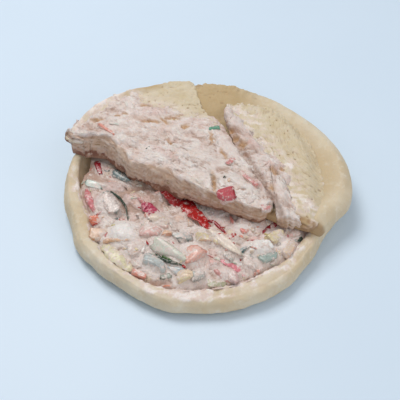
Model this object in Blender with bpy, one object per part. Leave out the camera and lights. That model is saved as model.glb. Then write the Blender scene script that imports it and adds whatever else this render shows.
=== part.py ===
"""Cheese sandwich: a round pale pocket bread, slit open round its front. The pocket holds a creamy
cheese and vegetable mix, and the upper layer is folded back on itself, torn, and smeared with the mix.

Lengths are in millimetres up to the point where a mesh is made, which converts them to metres.
The origin is under the middle of the flat underside. +Z is up, and the open pocket faces -Y.
"""

import math
import random

import bmesh
import bpy
from mathutils import Euler, Vector, noise

METRES = 0.001

# Driving dimensions of the bread
LAYER = 3.4             # thickness of one layer of the bread
RIM_THICKNESS = 5.0
FLAT_RADIUS = 58.0      # the flat underside
HINGE_REACH = 10.0      # how far the upper layer takes to curve down to the rim
HINGE_SQUARENESS = 2.5  # exponent of that curve: 2 is an ellipse
BACK_SWELL = 5.0        # the upper layer stands this much higher at the back, between the flap's halves

# Height of the pocket's rim at angles in degrees: low at the open front, high at the hinge
RIM_HEIGHTS = ((-180, 14.5), (-155, 10.6), (-90, 10.2), (-50, 10.6), (-30, 12.4), (0, 16.3), (45, 17.6),
               (90, 19.2), (135, 20.8), (160, 20.8), (180, 14.5))

# Outer radius of the rim, which is pinched in at the right front
RIM_RADII = ((-180, 79.2), (-168, 76.1), (-153, 76.4), (-140, 74.4), (-128, 73.7), (-110, 75.9), (-92, 75.1),
             (-72, 73.8), (-55, 72.2), (-40, 69.2), (-26, 68.2), (-17, 71.2), (-8, 77.8), (4, 80.8),
             (28, 81.2), (60, 78.9), (90, 77.8), (145, 78.5), (165, 80.2), (180, 79.2))

# Width of the rim in plan, from its widest circle to the mix: broad where the pocket lies open
RIM_BANDS = ((-180, 9.5), (-160, 10.5), (-147, 9.5), (-134, 6.5), (-112, 8.6), (-90, 11.2), (-62, 12.0),
             (-45, 10.0), (-25, 6.5), (-5, 5.0), (160, 5.0), (170, 7.0), (180, 9.5))
RIM_LEAN = 0.55         # share of a broad rim's width that its top stands inside its widest circle
RIM_FOOT = 0.34         # share of the open rim's height at which its widest circle lies

# The fold of the upper layer runs from the left to the right front, bowed a little forward
FOLD_LEFT = Vector((-76.0, 24.0))
FOLD_RIGHT = Vector((57.0, -32.0))
FOLD_BOW = 3.5
FOLD_STEP = (7.0, 0.12, 0.085)      # where it stands back on the left: how far, where along it, how wide

# The tear that parts the folded-back flap in two
TEAR_BACK = Vector((10.0, 44.0))
TEAR_FRONT = Vector((40.0, -26.0))

# Clearances between pieces that touch
GAP = 0.5

# Mesh density: points round an outline
ROUND = 56
CENTRE_SHIFT = Vector((-1.1, -2.2, 0.0))

# Finishes: a colour and a roughness
FINISHES = {
    "bread": ((0.80, 0.69, 0.50), 0.75),
    "cream_mix": ((0.84, 0.72, 0.66), 0.45),
    "red_pepper": ((0.58, 0.02, 0.02), 0.25),
    "pink_pepper": ((0.74, 0.22, 0.22), 0.35),
    "cucumber": ((0.35, 0.45, 0.28), 0.35),
    "yellow_pepper": ((0.82, 0.62, 0.30), 0.40),
    "pale_strip": ((0.76, 0.50, 0.38), 0.45),
}

# Pieces as large as a berry, which show on the mix. Each row gives the middle of the piece in plan,
# its length, width and thickness, the heading of its length in degrees, and its finish.
LARGE_PIECES = {
    "red_pepper_strip": (-10.5, -14.5, 38.0, 10.0, 4.6, -48.0, "red_pepper"),
    "red_pepper_tip": (13.2, -32.2, 6.5, 5.0, 4.5, -20.0, "red_pepper"),
    "red_pepper_dice": (-56.5, -20.5, 8.0, 7.0, 5.5, 30.0, "red_pepper"),
    "pink_pepper_sliver": (-63.0, -8.0, 16.0, 4.2, 4.5, -72.0, "pink_pepper"),
    "pink_pepper_flake": (-32.6, -13.0, 12.0, 9.0, 4.0, -60.0, "pink_pepper"),
    "pink_pepper_dice": (-6.0, -49.0, 13.0, 11.5, 6.0, -25.0, "pink_pepper"),
    "pink_pepper_strip": (14.5, -50.0, 14.0, 4.4, 4.5, -43.0, "pink_pepper"),
    "dark_pepper_strip": (33.6, -28.0, 14.0, 4.4, 4.0, 42.0, "red_pepper"),
    "cucumber_slice": (-50.5, -9.5, 19.0, 11.0, 4.0, -50.0, "cucumber"),
    "cucumber_wedge": (-22.5, -46.0, 20.0, 11.0, 7.5, -38.0, "cucumber"),
    "cucumber_stub": (-24.5, -57.8, 7.5, 6.0, 5.0, -25.0, "cucumber"),
    "cucumber_chip_left": (-46.0, 9.0, 11.0, 6.0, 4.0, -35.0, "cucumber"),
    "cucumber_chip_middle": (18.8, -42.5, 11.0, 5.5, 4.5, 34.0, "cucumber"),
    "cucumber_chip_right": (29.0, -43.5, 11.0, 7.0, 4.5, 15.0, "cucumber"),
    "yellow_pepper_lump": (-9.5, -58.5, 9.0, 7.5, 5.0, 0.0, "yellow_pepper"),
    "yellow_pepper_leaf": (-44.5, -45.0, 18.0, 7.0, 4.0, -48.0, "yellow_pepper"),
    "yellow_pepper_chip": (0.8, -35.0, 13.0, 7.0, 4.5, -20.0, "yellow_pepper"),
    "yellow_pepper_end": (38.0, -35.5, 12.0, 7.0, 4.5, 25.0, "yellow_pepper"),
    "pale_strip_left": (-48.5, -31.0, 17.0, 6.0, 5.0, -8.0, "pale_strip"),
    "pale_strip_right": (7.0, -56.0, 12.0, 6.0, 5.0, -46.0, "pale_strip"),
}
SMALL_PIECES = 26            # finer pieces, fused to the mix
SMALL_PIECE_SIZES = (4.0, 7.5)
CHUNK_SQUARENESS = 0.62      # exponent of the superellipsoid: 1 is an ellipsoid, 0 a box


# Shape functions, all in millimetres

def smoothstep(value):
    """0 below 0, 1 above 1, with a smooth rise between."""
    t = min(1.0, max(0.0, value))
    return t * t * (3.0 - 2.0 * t)


def bell(angle, middle, width):
    """A bell curve round the bread's edge, with all three angles in degrees."""
    apart = (angle - middle + 180.0) % 360.0 - 180.0
    return math.exp(-((apart / width) ** 2))


def wave(x, y, size, seed=0.0):
    """Smooth unevenness from -1 to 1 with features of the given size."""
    return noise.noise(Vector((x / size, y / size, seed)))


def read_table(rows, angle):
    """A value at an angle in degrees, on a smooth curve through the rows of a table that closes on itself."""
    angle = (angle + 180.0) % 360.0 - 180.0
    rows = ((rows[-2][0] - 360.0, rows[-2][1]), *rows, (rows[1][0] + 360.0, rows[1][1]))
    for before, start, end, after in zip(rows, rows[1:], rows[2:], rows[3:]):
        if angle <= end[0]:
            break
    span = end[0] - start[0]
    t = (angle - start[0]) / span
    leave = (end[1] - before[1]) / (end[0] - before[0]) * span
    arrive = (after[1] - start[1]) / (after[0] - start[0]) * span
    rise = t * t * (3.0 - 2.0 * t)
    return start[1] + (end[1] - start[1]) * rise + (leave * (1.0 - t) - arrive * t) * t * (1.0 - t)


def rim_radius(angle):
    """Outer radius of the pocket's rim at an angle in degrees."""
    turn = math.radians(angle)
    return read_table(RIM_RADII, angle) + 0.4 * wave(math.cos(turn), math.sin(turn), 0.34, 2.0)


def rim_band(angle):
    return read_table(RIM_BANDS, angle)


def rim_lean(angle):
    """How far the top of the rim stands inside its widest circle."""
    return RIM_THICKNESS / 2.0 + RIM_LEAN * (rim_band(angle) - RIM_THICKNESS)


def front_share(angle):
    """1 along the open front of the rim, 0 where the upper layer joins it."""
    turn = (angle + 360.0) % 360.0
    return smoothstep((turn - 162.0) / 16.0) * smoothstep((350.0 - turn) / 22.0)


def rim_height(angle):
    """Height of the rim, read from its table with smooth steps and made a little uneven."""
    angle = (angle + 180.0) % 360.0 - 180.0
    turn = math.radians(angle)
    uneven = 1.0 * wave(math.cos(turn), math.sin(turn), 0.40, 5.0)
    for (start, low), (end, high) in zip(RIM_HEIGHTS, RIM_HEIGHTS[1:]):
        if angle <= end:
            return low + (high - low) * smoothstep((angle - start) / (end - start)) + uneven
    return RIM_HEIGHTS[-1][1] + uneven


def angle_of(x, y):
    return math.degrees(math.atan2(y, x))


def behind_fold(x, y):
    """Distance behind the fold line, and the share of the way along it."""
    along = (FOLD_RIGHT - FOLD_LEFT).normalized()
    back = Vector((-along.y, along.x))
    offset = Vector((x, y)) - FOLD_LEFT
    share = offset.dot(along) / (FOLD_RIGHT - FOLD_LEFT).length
    inside = min(1.0, max(0.0, share))
    return offset.dot(back) + 4.0 * FOLD_BOW * inside * (1.0 - inside), share


def fold_point(share):
    """A point in plan on the bowed fold line."""
    along = (FOLD_RIGHT - FOLD_LEFT).normalized()
    forward = Vector((along.y, -along.x))
    return FOLD_LEFT.lerp(FOLD_RIGHT, share) + forward * 4.0 * FOLD_BOW * share * (1.0 - share)


def step_back(share):
    """A step backward from the fold line, to where the fold really stands near its left end."""
    depth, middle, width = FOLD_STEP
    back = Vector((FOLD_LEFT.y - FOLD_RIGHT.y, FOLD_RIGHT.x - FOLD_LEFT.x)).normalized()
    return back * depth * math.exp(-((share - middle) / width) ** 2)


def right_of_tear(x, y):
    """Distance to the right of the tear's line, negative on its left."""
    along = (TEAR_FRONT - TEAR_BACK).normalized()
    return (Vector((x, y)) - TEAR_BACK).dot(Vector((-along.y, along.x)))


def hinge_edge_radius(angle):
    """Outer radius of the upper layer, which bulges a little past the pocket's rim."""
    return rim_radius(angle) + 0.8 + 1.2 * bell(angle, 60, 50)


def quarter(share, power=2.0):
    """Height of a quarter superellipse, from 0 at its vertical end to 1 at its level end."""
    t = min(1.0, max(0.0, share))
    return (1.0 - (1.0 - t) ** power) ** (1.0 / power)


def swell(angle, radius):
    """How much the upper layer stands up at its back edge, between the two halves of the flap."""
    apart = (angle - 88.0) / 17.0
    height = BACK_SWELL * math.exp(-(apart ** 4)) + 0.5 * BACK_SWELL * bell(angle, 62, 14)
    return height * smoothstep((radius - 42.0) / 28.0)


def hinge_plane(x, y):
    """Top of the upper layer away from its rim: it slopes down to the front and to the right."""
    return 22.2 - 0.038 * x + 0.081 * y


def hinge_top(x, y):
    """Top of the upper layer, which curves down to the rim."""
    angle, radius = angle_of(x, y), math.hypot(x, y)
    reach = (hinge_edge_radius(angle) - radius) / HINGE_REACH
    edge = rim_height(angle) - 2.0
    level = hinge_plane(x, y) + swell(angle, radius)
    return edge + (level - edge) * quarter(reach, HINGE_SQUARENESS)


def hinge_under(x, y):
    """Underside of the upper layer."""
    angle, radius = angle_of(x, y), math.hypot(x, y)
    reach = (hinge_edge_radius(angle) - radius - LAYER) / (HINGE_REACH - LAYER)
    edge = rim_height(angle) - 3.5
    level = hinge_plane(x, y) + swell(angle, radius) - LAYER
    return edge + (level - edge) * quarter(reach, HINGE_SQUARENESS)


def left_flap_under(x, y):
    """Underside of the left half of the flap: joined at the fold, lifted at the back."""
    behind = behind_fold(x, y)[0]
    return hinge_plane(x, y) - 1.2 + 3.6 * smoothstep(behind / 40.0)


def left_flap_top(x, y):
    return left_flap_under(x, y) + LAYER


def right_flap_under(x, y):
    """Underside of the right half, which rides up over the left half along the tear."""
    behind = behind_fold(x, y)[0]
    ride = 2.6 * math.exp(-((right_of_tear(x, y) / 11.0) ** 2)) * smoothstep(behind / 8.0)
    return hinge_plane(x, y) - 1.2 + 2.2 * smoothstep(behind / 55.0) + ride


def right_flap_top(x, y):
    return right_flap_under(x, y) + LAYER


def mix_top(x, y):
    """Top of the mix: a low lumpy heap that shows in front, and fills the space under the fold."""
    radius = math.hypot(x, y)
    angle = angle_of(x, y)
    inner = rim_radius(angle) - rim_band(angle) - 1.0
    heap = rim_height(angle) - 3.2 + 5.6 * quarter((inner - radius) / 46.0)
    lumps = 1.5 * wave(x, y, 9.0, 1.0) + 0.7 * wave(x, y, 5.0, 3.0)
    open_top = min(heap, 16.2) + lumps * smoothstep((inner - radius) / 8.0)
    behind = behind_fold(x, y)[0]
    roof = hinge_plane(x, y) - LAYER - 1.0
    edge = rim_height(angle) - 4.8
    packed = edge + (roof - edge) * quarter((inner - 1.5 - radius) / 15.0)
    return min(open_top + (packed - open_top) * smoothstep((behind - 6.0) / 14.0), roof)


# Mesh builders

def material(name):
    colour, roughness = FINISHES[name]
    made = bpy.data.materials.new(name)
    made.use_nodes = True
    shader = made.node_tree.nodes["Principled BSDF"]
    shader.inputs["Base Color"].default_value = (*colour, 1.0)
    shader.inputs["Roughness"].default_value = roughness
    shader.inputs["Metallic"].default_value = 0.0
    return made


def skin(name, low_pole, rings, high_pole, finish):
    """A closed solid stretched over rings of points stacked from a pole below to a pole above."""
    mesh = bmesh.new()
    low = mesh.verts.new(Vector(low_pole) * METRES)
    loops = [[mesh.verts.new(Vector(point) * METRES) for point in ring] for ring in rings]
    high = mesh.verts.new(Vector(high_pole) * METRES)
    count = len(rings[0])
    for i in range(count):
        j = (i + 1) % count
        mesh.faces.new((low, loops[0][j], loops[0][i]))
        for below, above in zip(loops, loops[1:]):
            mesh.faces.new((below[i], below[j], above[j], above[i]))
        mesh.faces.new((high, loops[-1][i], loops[-1][j]))
    bmesh.ops.triangulate(mesh, faces=mesh.faces)
    data = bpy.data.meshes.new(name)
    mesh.to_mesh(data)
    mesh.free()
    data.materials.append(finish)
    data.shade_smooth()
    made = bpy.data.objects.new(name, data)
    bpy.context.scene.collection.objects.link(made)
    return made


def inward(point, centre, distance):
    """The point moved towards the centre by a distance, in plan."""
    away = point - centre
    return point - away.normalized() * min(distance, away.length * 0.98)


def slab(name, outline, centre, under, over, finish, steps=(6.0,), shares=(0.5,)):
    """A layer with a rounded edge: its plan is the outline, and two functions give its faces.
    Rings follow the outline at the given steps inwards, then at shares of the way to the centre."""
    centre = Vector(centre)
    lower, edge, upper = [], [], []

    def ring(points, height):
        return [(p.x, p.y, height(p.x, p.y)) for p in points]

    for share in sorted(shares, reverse=True):
        points = [p.lerp(centre, share) for p in outline]
        lower.append(ring(points, under))
        upper.insert(0, ring(points, over))
    for step in sorted(steps, reverse=True):
        points = [inward(p, centre, step) for p in outline]
        lower.append(ring(points, under))
        upper.insert(0, ring(points, over))
    for turn in (-90.0, -40.0, 10.0, 50.0, 90.0):
        rounded = []
        for p in outline:
            half = (over(p.x, p.y) - under(p.x, p.y)) / 2.0
            q = inward(p, centre, half * (1.0 - math.cos(math.radians(turn))))
            middle = (over(q.x, q.y) + under(q.x, q.y)) / 2.0
            half = (over(q.x, q.y) - under(q.x, q.y)) / 2.0
            rounded.append((q.x, q.y, middle + half * math.sin(math.radians(turn))))
        edge.append(rounded)
    low = (centre.x, centre.y, under(centre.x, centre.y))
    high = (centre.x, centre.y, over(centre.x, centre.y))
    return skin(name, low, lower + edge + upper, high, finish)


def closed_curve(points, count):
    """A smooth closed curve through the points, as evenly spaced points in plan."""
    corners = [Vector(p) for p in points]
    fine = []
    for i in range(len(corners)):
        a, b, c, d = (corners[(i + k - 1) % len(corners)] for k in range(4))
        for step in range(16):
            t = step / 16.0
            fine.append(
                0.5 * (2.0 * b + (c - a) * t + (2.0 * a - 5.0 * b + 4.0 * c - d) * t * t
                       + (3.0 * b - a - 3.0 * c + d) * t ** 3)
            )
    lengths = [0.0]
    for i in range(len(fine)):
        lengths.append(lengths[-1] + (fine[(i + 1) % len(fine)] - fine[i]).length)
    even, k = [], 0
    for i in range(count):
        target = lengths[-1] * i / count
        while lengths[k + 1] < target:
            k += 1
        share = (target - lengths[k]) / (lengths[k + 1] - lengths[k])
        even.append(fine[k].lerp(fine[(k + 1) % len(fine)], share))
    return even


def hinge_outline(count):
    """The half disc of the upper layer that still hinges on the rim, with rounded corners."""
    centre = Vector((8.0, 28.0))
    blend = 2.5
    outline = []
    for i in range(count):
        turn = 2.0 * math.pi * i / count
        heading = Vector((math.cos(turn), math.sin(turn)))
        near, far = 0.0, 160.0
        for _ in range(30):
            middle = (near + far) / 2.0
            p = centre + heading * middle
            behind, share = behind_fold(p.x, p.y)
            limits = (behind - step_back(share).length,
                      hinge_edge_radius(angle_of(p.x, p.y)) - p.length)
            inside = -blend * math.log(sum(math.exp(-max(-60.0, v) / blend) for v in limits))
            near, far = (middle, far) if inside > 0.0 else (near, middle)
        outline.append(centre + heading * near)
    return outline, centre


def drop_scraps(data):
    """Keeps the largest shell of a mesh: a Boolean can leave a sliver or a tiny sealed hollow."""
    mesh = bmesh.new()
    mesh.from_mesh(data)
    left, shells = set(mesh.verts), []
    while left:
        shell, edge = set(), [left.pop()]
        while edge:
            vert = edge.pop()
            shell.add(vert)
            linked = {link.other_vert(vert) for link in vert.link_edges} & left
            left -= linked
            edge.extend(linked)
        shells.append(shell)
    shells.sort(key=len)
    bmesh.ops.delete(mesh, geom=[v for shell in shells[:-1] for v in shell], context="VERTS")
    mesh.to_mesh(data)
    mesh.free()
    data.shade_smooth()


def boolean(target, operation, others):
    """Joins the others to the target, or cuts them from it, and removes them."""
    group = bpy.data.collections.new(target.name + "_" + operation.lower())
    bpy.context.scene.collection.children.link(group)
    for other in others:
        bpy.context.scene.collection.objects.unlink(other)
        group.objects.link(other)
    modifier = target.modifiers.new(operation.title(), "BOOLEAN")
    modifier.operation = operation
    modifier.operand_type = "COLLECTION"
    modifier.collection = group
    modifier.solver = "MANIFOLD"
    graph = bpy.context.evaluated_depsgraph_get()
    joined = bpy.data.meshes.new_from_object(target.evaluated_get(graph))
    target.modifiers.clear()
    target.data = joined
    drop_scraps(joined)
    for other in others:
        bpy.data.objects.remove(other)
    bpy.data.collections.remove(group)
    return target


# Parts of the sandwich

def pocket(finish):
    """The lower layer: a shallow dish with a rounded rim."""
    rings = []
    turns = [360.0 * i / ROUND for i in range(ROUND)]
    rounding = RIM_THICKNESS / 2.0

    def place(angle, radius, height):
        turn = math.radians(angle)
        return (radius * math.cos(turn), radius * math.sin(turn), height)

    def widest(angle):
        """Height of the rim's widest circle: under its rounding, or low down where it leans in."""
        height, front = rim_height(angle), front_share(angle)
        return (height - rounding) * (1.0 - front) + RIM_FOOT * height * front

    def ring(profile, t):
        s, c = math.sin(math.radians(t)), math.cos(math.radians(t))
        rings.append([place(a, *profile(a, s, c)) for a in turns])

    def outside(a, s, c):
        return FLAT_RADIUS + (rim_radius(a) - FLAT_RADIUS) * s, widest(a) * (1.0 - c)

    def shoulder(a, s, c):
        rise = rim_height(a) - widest(a)
        return rim_radius(a) - rim_lean(a) * (1.0 - c), widest(a) + rise * s

    def lip(a, s, c):
        crest, width = rim_radius(a) - rim_lean(a), rim_band(a) - rim_lean(a)
        return crest - width * s, rim_height(a) - rounding * (1.0 - c)

    ring(lambda a, s, c: (FLAT_RADIUS, 0.0), 0.0)
    for t in (30.0, 50.0, 70.0, 90.0):
        ring(outside, t)
    for t in (40.0, 65.0, 90.0):
        ring(shoulder, t)
    for t in (45.0, 90.0):
        ring(lip, t)
    for t in (70.0, 50.0, 30.0):
        rings.append([place(a, *pocket_inside(a, t)) for a in turns])
    ring(lambda a, s, c: (FLAT_RADIUS - 1.0, LAYER), 0.0)
    return skin("bread", (0.0, 0.0, 0.0), rings, (0.0, 0.0, LAYER), finish)


def pocket_inside(angle, t, gap=0.0):
    """Radius and height of the pocket's inner wall, from its foot at t = 0 degrees to the rim at 90."""
    s, c = math.sin(math.radians(t)), math.cos(math.radians(t))
    foot = FLAT_RADIUS - 1.0
    wall = rim_radius(angle) - rim_band(angle)
    rise = rim_height(angle) - RIM_THICKNESS / 2.0 - LAYER
    return foot + (wall - foot) * s - gap, LAYER + rise * (1.0 - c) + gap * c


def left_flap_outline():
    """The left half of the folded-back flap: the fold, the tear, and the free rim at the back."""
    fold = [fold_point(s) + step_back(s)
            for s in (0.05, 0.12, 0.18, 0.25, 0.33, 0.46, 0.60, 0.72, 0.82)]
    tear = [(37.5, -14), (30.5, 0), (20, 17), (14, 33), (7.5, 43), (1, 48)]
    rim = [(-4, 62), (-8, 74), (-18, 76.5), (-30, 71), (-44, 66), (-58, 58), (-67, 50),
           (-74, 40), (-79.5, 29)]
    return closed_curve(fold + tear + rim, 56)


def right_flap_outline():
    """The right half of the flap."""
    fold = [fold_point(s) for s in (0.865, 0.93, 0.985)]
    rim = [(61, -23), (64, -8), (64.5, 6), (62, 25), (55, 44), (43, 57), (28, 62), (13, 58)]
    tear = [(11.5, 47), (14.5, 34), (18.5, 20), (27, 4), (34.5, -12)]
    return closed_curve(fold + rim + tear, 46)


def build_bread(finish):
    """The whole bread, one solid: the pocket, the hinged layer and the two halves of its flap."""
    bread = pocket(finish)
    outline, centre = hinge_outline(54)
    hinged = slab("hinged_layer", outline, centre, hinge_under, hinge_top, finish,
                  steps=(1.4, 3.4, 6.0, 10.5), shares=(0.5,))
    left = slab("left_flap", left_flap_outline(), (-18, 28), left_flap_under, left_flap_top, finish)
    right = slab("right_flap", right_flap_outline(), (42, 20), right_flap_under, right_flap_top,
                 finish)
    return boolean(bread, "UNION", [hinged, left, right])


def mix_core(finish):
    """The mix without its vegetable pieces: it lies in the pocket and rises to a lumpy top."""
    turns = [360.0 * i / ROUND for i in range(ROUND)]
    rings = []

    def place(angle, radius, height):
        turn = math.radians(angle)
        return (radius * math.cos(turn), radius * math.sin(turn), height)

    for t in (5.0, 35.0, 70.0):
        rings.append([place(a, *pocket_inside(a, t, GAP)) for a in turns])
    for step in (1.5, 5.0, 10.0, 16.0, 23.0, 31.0, 40.0, 51.0):
        ring = []
        for a in turns:
            radius = max(7.0, pocket_inside(a, 70.0, GAP)[0] - step)
            x, y, _ = place(a, radius, 0.0)
            ring.append((x, y, mix_top(x, y)))
        rings.append(ring)
    return skin("filling", (0.0, 0.0, LAYER + GAP), rings, (0.0, 0.0, mix_top(0.0, 0.0)), finish)


def chunk(name, place, size, turn, finish, grow=0.0, detail=2):
    """A cut piece with rounded edges: a superellipsoid from a sphere of few sides."""
    mesh = bmesh.new()
    bmesh.ops.create_icosphere(mesh, subdivisions=detail, radius=1.0)
    rotation = Euler([math.radians(a) for a in turn]).to_matrix()
    for vert in mesh.verts:
        shaped = Vector([
            math.copysign(abs(v) ** CHUNK_SQUARENESS, v) * (side / 2.0 + grow)
            for v, side in zip(vert.co, size)
        ])
        vert.co = (rotation @ shaped + Vector(place)) * METRES
    data = bpy.data.meshes.new(name)
    mesh.to_mesh(data)
    mesh.free()
    data.materials.append(finish)
    data.shade_smooth()
    made = bpy.data.objects.new(name, data)
    bpy.context.scene.collection.objects.link(made)
    return made


def slope_turn(x, y, heading):
    """The turn that lays a piece on the mix at a heading, following the slope of the heap."""
    reach = 6.0
    rise_x = (mix_top(x + reach, y) - mix_top(x - reach, y)) / (2.0 * reach)
    rise_y = (mix_top(x, y + reach) - mix_top(x, y - reach)) / (2.0 * reach)
    c, s = math.cos(math.radians(heading)), math.sin(math.radians(heading))
    pitch = -math.degrees(math.atan(rise_x * c + rise_y * s))
    roll = math.degrees(math.atan(rise_y * c - rise_x * s))
    return (roll * 0.7, pitch * 0.7, heading)


def large_chunk(name, finish, grow=0.0):
    """One of the large pieces, sunk into the mix by more than half of its thickness."""
    x, y, length, width, thickness, heading, _ = LARGE_PIECES[name]
    height = mix_top(x, y) - thickness * 0.12
    return chunk(name, (x, y, height), (length, width, thickness), slope_turn(x, y, heading),
                 finish, grow)


def clear_of_large_pieces(x, y, margin):
    """Whether a point in plan keeps clear of every large piece."""
    for px, py, length, width, _, heading, _ in LARGE_PIECES.values():
        c, s = math.cos(math.radians(heading)), math.sin(math.radians(heading))
        along = (x - px) * c + (y - py) * s
        across = (y - py) * c - (x - px) * s
        if abs(along) < length / 2.0 + margin and abs(across) < width / 2.0 + margin:
            return False
    return True


def small_chunks(finish):
    """Finer pieces, spread over the open part of the mix by a seeded draw."""
    draw = random.Random(7)
    made, places = [], []
    while len(made) < SMALL_PIECES:
        turn, radius = draw.uniform(0.0, 360.0), 66.0 * math.sqrt(draw.random())
        x, y = radius * math.cos(math.radians(turn)), radius * math.sin(math.radians(turn))
        size = [draw.uniform(*SMALL_PIECE_SIZES) for _ in range(2)] + [draw.uniform(3.0, 4.5)]
        angles = (draw.uniform(-25, 25), draw.uniform(-25, 25), draw.uniform(0, 180))
        open_rim = rim_radius(turn) - rim_band(turn) - 5.0
        if radius > open_rim or behind_fold(x, y)[0] > -3.0:
            continue
        if not clear_of_large_pieces(x, y, 3.8):
            continue
        if any(math.hypot(x - px, y - py) < 6.0 for px, py in places):
            continue
        places.append((x, y))
        made.append(chunk("small_piece", (x, y, mix_top(x, y) - 0.4), size, angles, finish,
                          detail=1))
    return made


def build_filling(finish):
    """The mix with its fine pieces fused on, and a pocket cut for each large piece."""
    filling = boolean(mix_core(finish), "UNION", small_chunks(finish))
    cutters = [large_chunk(name, finish, grow=GAP) for name in LARGE_PIECES]
    for cutter in cutters:
        cutter.name = "cutter"
    return boolean(filling, "DIFFERENCE", cutters)


def build_large_pieces(finishes):
    for name, row in LARGE_PIECES.items():
        large_chunk(name, finishes[row[-1]])


def build_flap_spread(finish):
    """The mix smeared over the left half of the flap, thickest along the fold."""
    fold = [fold_point(s) + step_back(s) + Vector((0.0, 0.6))
            for s in (0.07, 0.13, 0.2, 0.26, 0.33, 0.46, 0.59, 0.70, 0.79)]
    tear = [(31.5, -13), (24, 2), (15.5, 19), (10, 33), (4, 40)]
    back = [(-8, 41), (-20, 49), (-33, 54), (-42, 61), (-55, 50), (-66, 38), (-73, 28)]
    outline = closed_curve(fold + tear + back, 50)
    centre = Vector((-20, 22))

    def under(x, y):
        return left_flap_top(x, y) + GAP

    def over(x, y):
        behind, share = behind_fold(x, y)
        thick = 1.6 + 3.6 * math.exp(-((behind - 6.0) / 24.0) ** 2) * (1.05 - 0.55 * share)
        return under(x, y) + thick + 0.8 * wave(x, y, 10.0, 8.0)

    return slab("flap_spread", outline, centre, under, over, finish,
                steps=(3.5, 8.0), shares=(0.35, 0.65))


def build_tear_spread(finish):
    """The thinner smear along the torn edge of the right half."""
    outer = [(48, -24), (46, -16), (46.5, -6), (45, 4), (36, 10), (32, 20), (28.5, 30), (24, 42)]
    tear = [(17, 49), (16.5, 37), (20.5, 23), (29, 6), (36.5, -10), (42, -22)]
    outline = closed_curve(outer + tear, 36)

    def under(x, y):
        return right_flap_top(x, y) + GAP

    def over(x, y):
        return under(x, y) + 1.5 + 0.5 * wave(x, y, 7.0, 4.0)

    return slab("tear_spread", outline, (33, 9), under, over, finish, steps=(2.5,), shares=(0.6,))


def clear_scene():
    for obj in list(bpy.data.objects):
        bpy.data.objects.remove(obj)


def main():
    clear_scene()
    finishes = {name: material(name) for name in FINISHES}
    build_bread(finishes["bread"])
    build_filling(finishes["cream_mix"])
    build_large_pieces(finishes)
    build_flap_spread(finishes["cream_mix"])
    build_tear_spread(finishes["cream_mix"])
    for obj in bpy.context.scene.objects:
        obj.location = CENTRE_SHIFT * METRES


main()
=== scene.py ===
"""Looks of the cheese sandwich: a round pocket bread with a creamy vegetable mix and a folded-back flap.

Shapes are worked out in millimetres in the part's own plan and moved by CENTRE_SHIFT into the frame.
"""

import math
from collections import namedtuple

import bpy
import numpy as np
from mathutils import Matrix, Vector, noise


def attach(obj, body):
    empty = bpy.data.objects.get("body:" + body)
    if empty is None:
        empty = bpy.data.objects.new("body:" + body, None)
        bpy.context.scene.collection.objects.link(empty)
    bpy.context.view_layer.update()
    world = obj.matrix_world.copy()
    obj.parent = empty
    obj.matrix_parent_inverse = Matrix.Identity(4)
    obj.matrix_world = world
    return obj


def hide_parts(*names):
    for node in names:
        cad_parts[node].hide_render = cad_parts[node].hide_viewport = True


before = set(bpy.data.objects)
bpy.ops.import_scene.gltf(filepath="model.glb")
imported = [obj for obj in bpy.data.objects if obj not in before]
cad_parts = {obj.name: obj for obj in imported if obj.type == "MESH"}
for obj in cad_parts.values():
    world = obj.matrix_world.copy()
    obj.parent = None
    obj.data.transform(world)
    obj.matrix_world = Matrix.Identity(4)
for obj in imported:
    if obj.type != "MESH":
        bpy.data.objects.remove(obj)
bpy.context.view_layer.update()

METRES = 0.001
CENTRE_SHIFT = np.array((-1.1, -2.2, 0.0))

# The bread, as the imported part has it
LAYER = 3.4
RIM_THICKNESS = 5.0
FLAT_RADIUS = 58.0
HINGE_REACH = 10.0
HINGE_SQUARENESS = 2.5
BACK_SWELL = 5.0
HINGE_HEIGHT = 22.2
HINGE_SLOPE = (-0.038, 0.081)
FLAP_SINK = 1.2
HEAP_LIMIT = 16.2
RIM_HEIGHTS = ((-180, 14.5), (-155, 10.6), (-90, 10.2), (-50, 10.6), (-30, 12.4), (0, 16.3), (45, 17.6),
               (90, 19.2), (135, 20.8), (160, 20.8), (180, 14.5))
RIM_RADII = ((-180, 79.2), (-168, 76.1), (-153, 76.4), (-140, 74.4), (-128, 73.7), (-110, 75.9), (-92, 75.1),
             (-72, 73.8), (-55, 72.2), (-40, 69.2), (-26, 68.2), (-17, 71.2), (-8, 77.8), (4, 80.8),
             (28, 81.2), (60, 78.9), (90, 77.8), (145, 78.5), (165, 80.2), (180, 79.2))
RIM_BANDS = ((-180, 9.5), (-160, 10.5), (-147, 9.5), (-134, 6.5), (-112, 8.6), (-90, 11.2), (-62, 12.0),
             (-45, 10.0), (-25, 6.5), (-5, 5.0), (160, 5.0), (170, 7.0), (180, 9.5))
RIM_LEAN = 0.55
RIM_FOOT = 0.34
FOLD_LEFT = np.array((-76.0, 24.0))
FOLD_RIGHT = np.array((57.0, -32.0))
FOLD_BOW = 3.5
BACKWARD = np.array((0.388, 0.922))
TEAR_BACK = np.array((10.0, 44.0))
TEAR_FRONT = np.array((40.0, -26.0))
FOLD_LENGTH = np.linalg.norm(FOLD_RIGHT - FOLD_LEFT)
FOLD_ALONG = (FOLD_RIGHT - FOLD_LEFT) / FOLD_LENGTH
TEAR_ALONG = (TEAR_FRONT - TEAR_BACK) / np.linalg.norm(TEAR_FRONT - TEAR_BACK)

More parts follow.
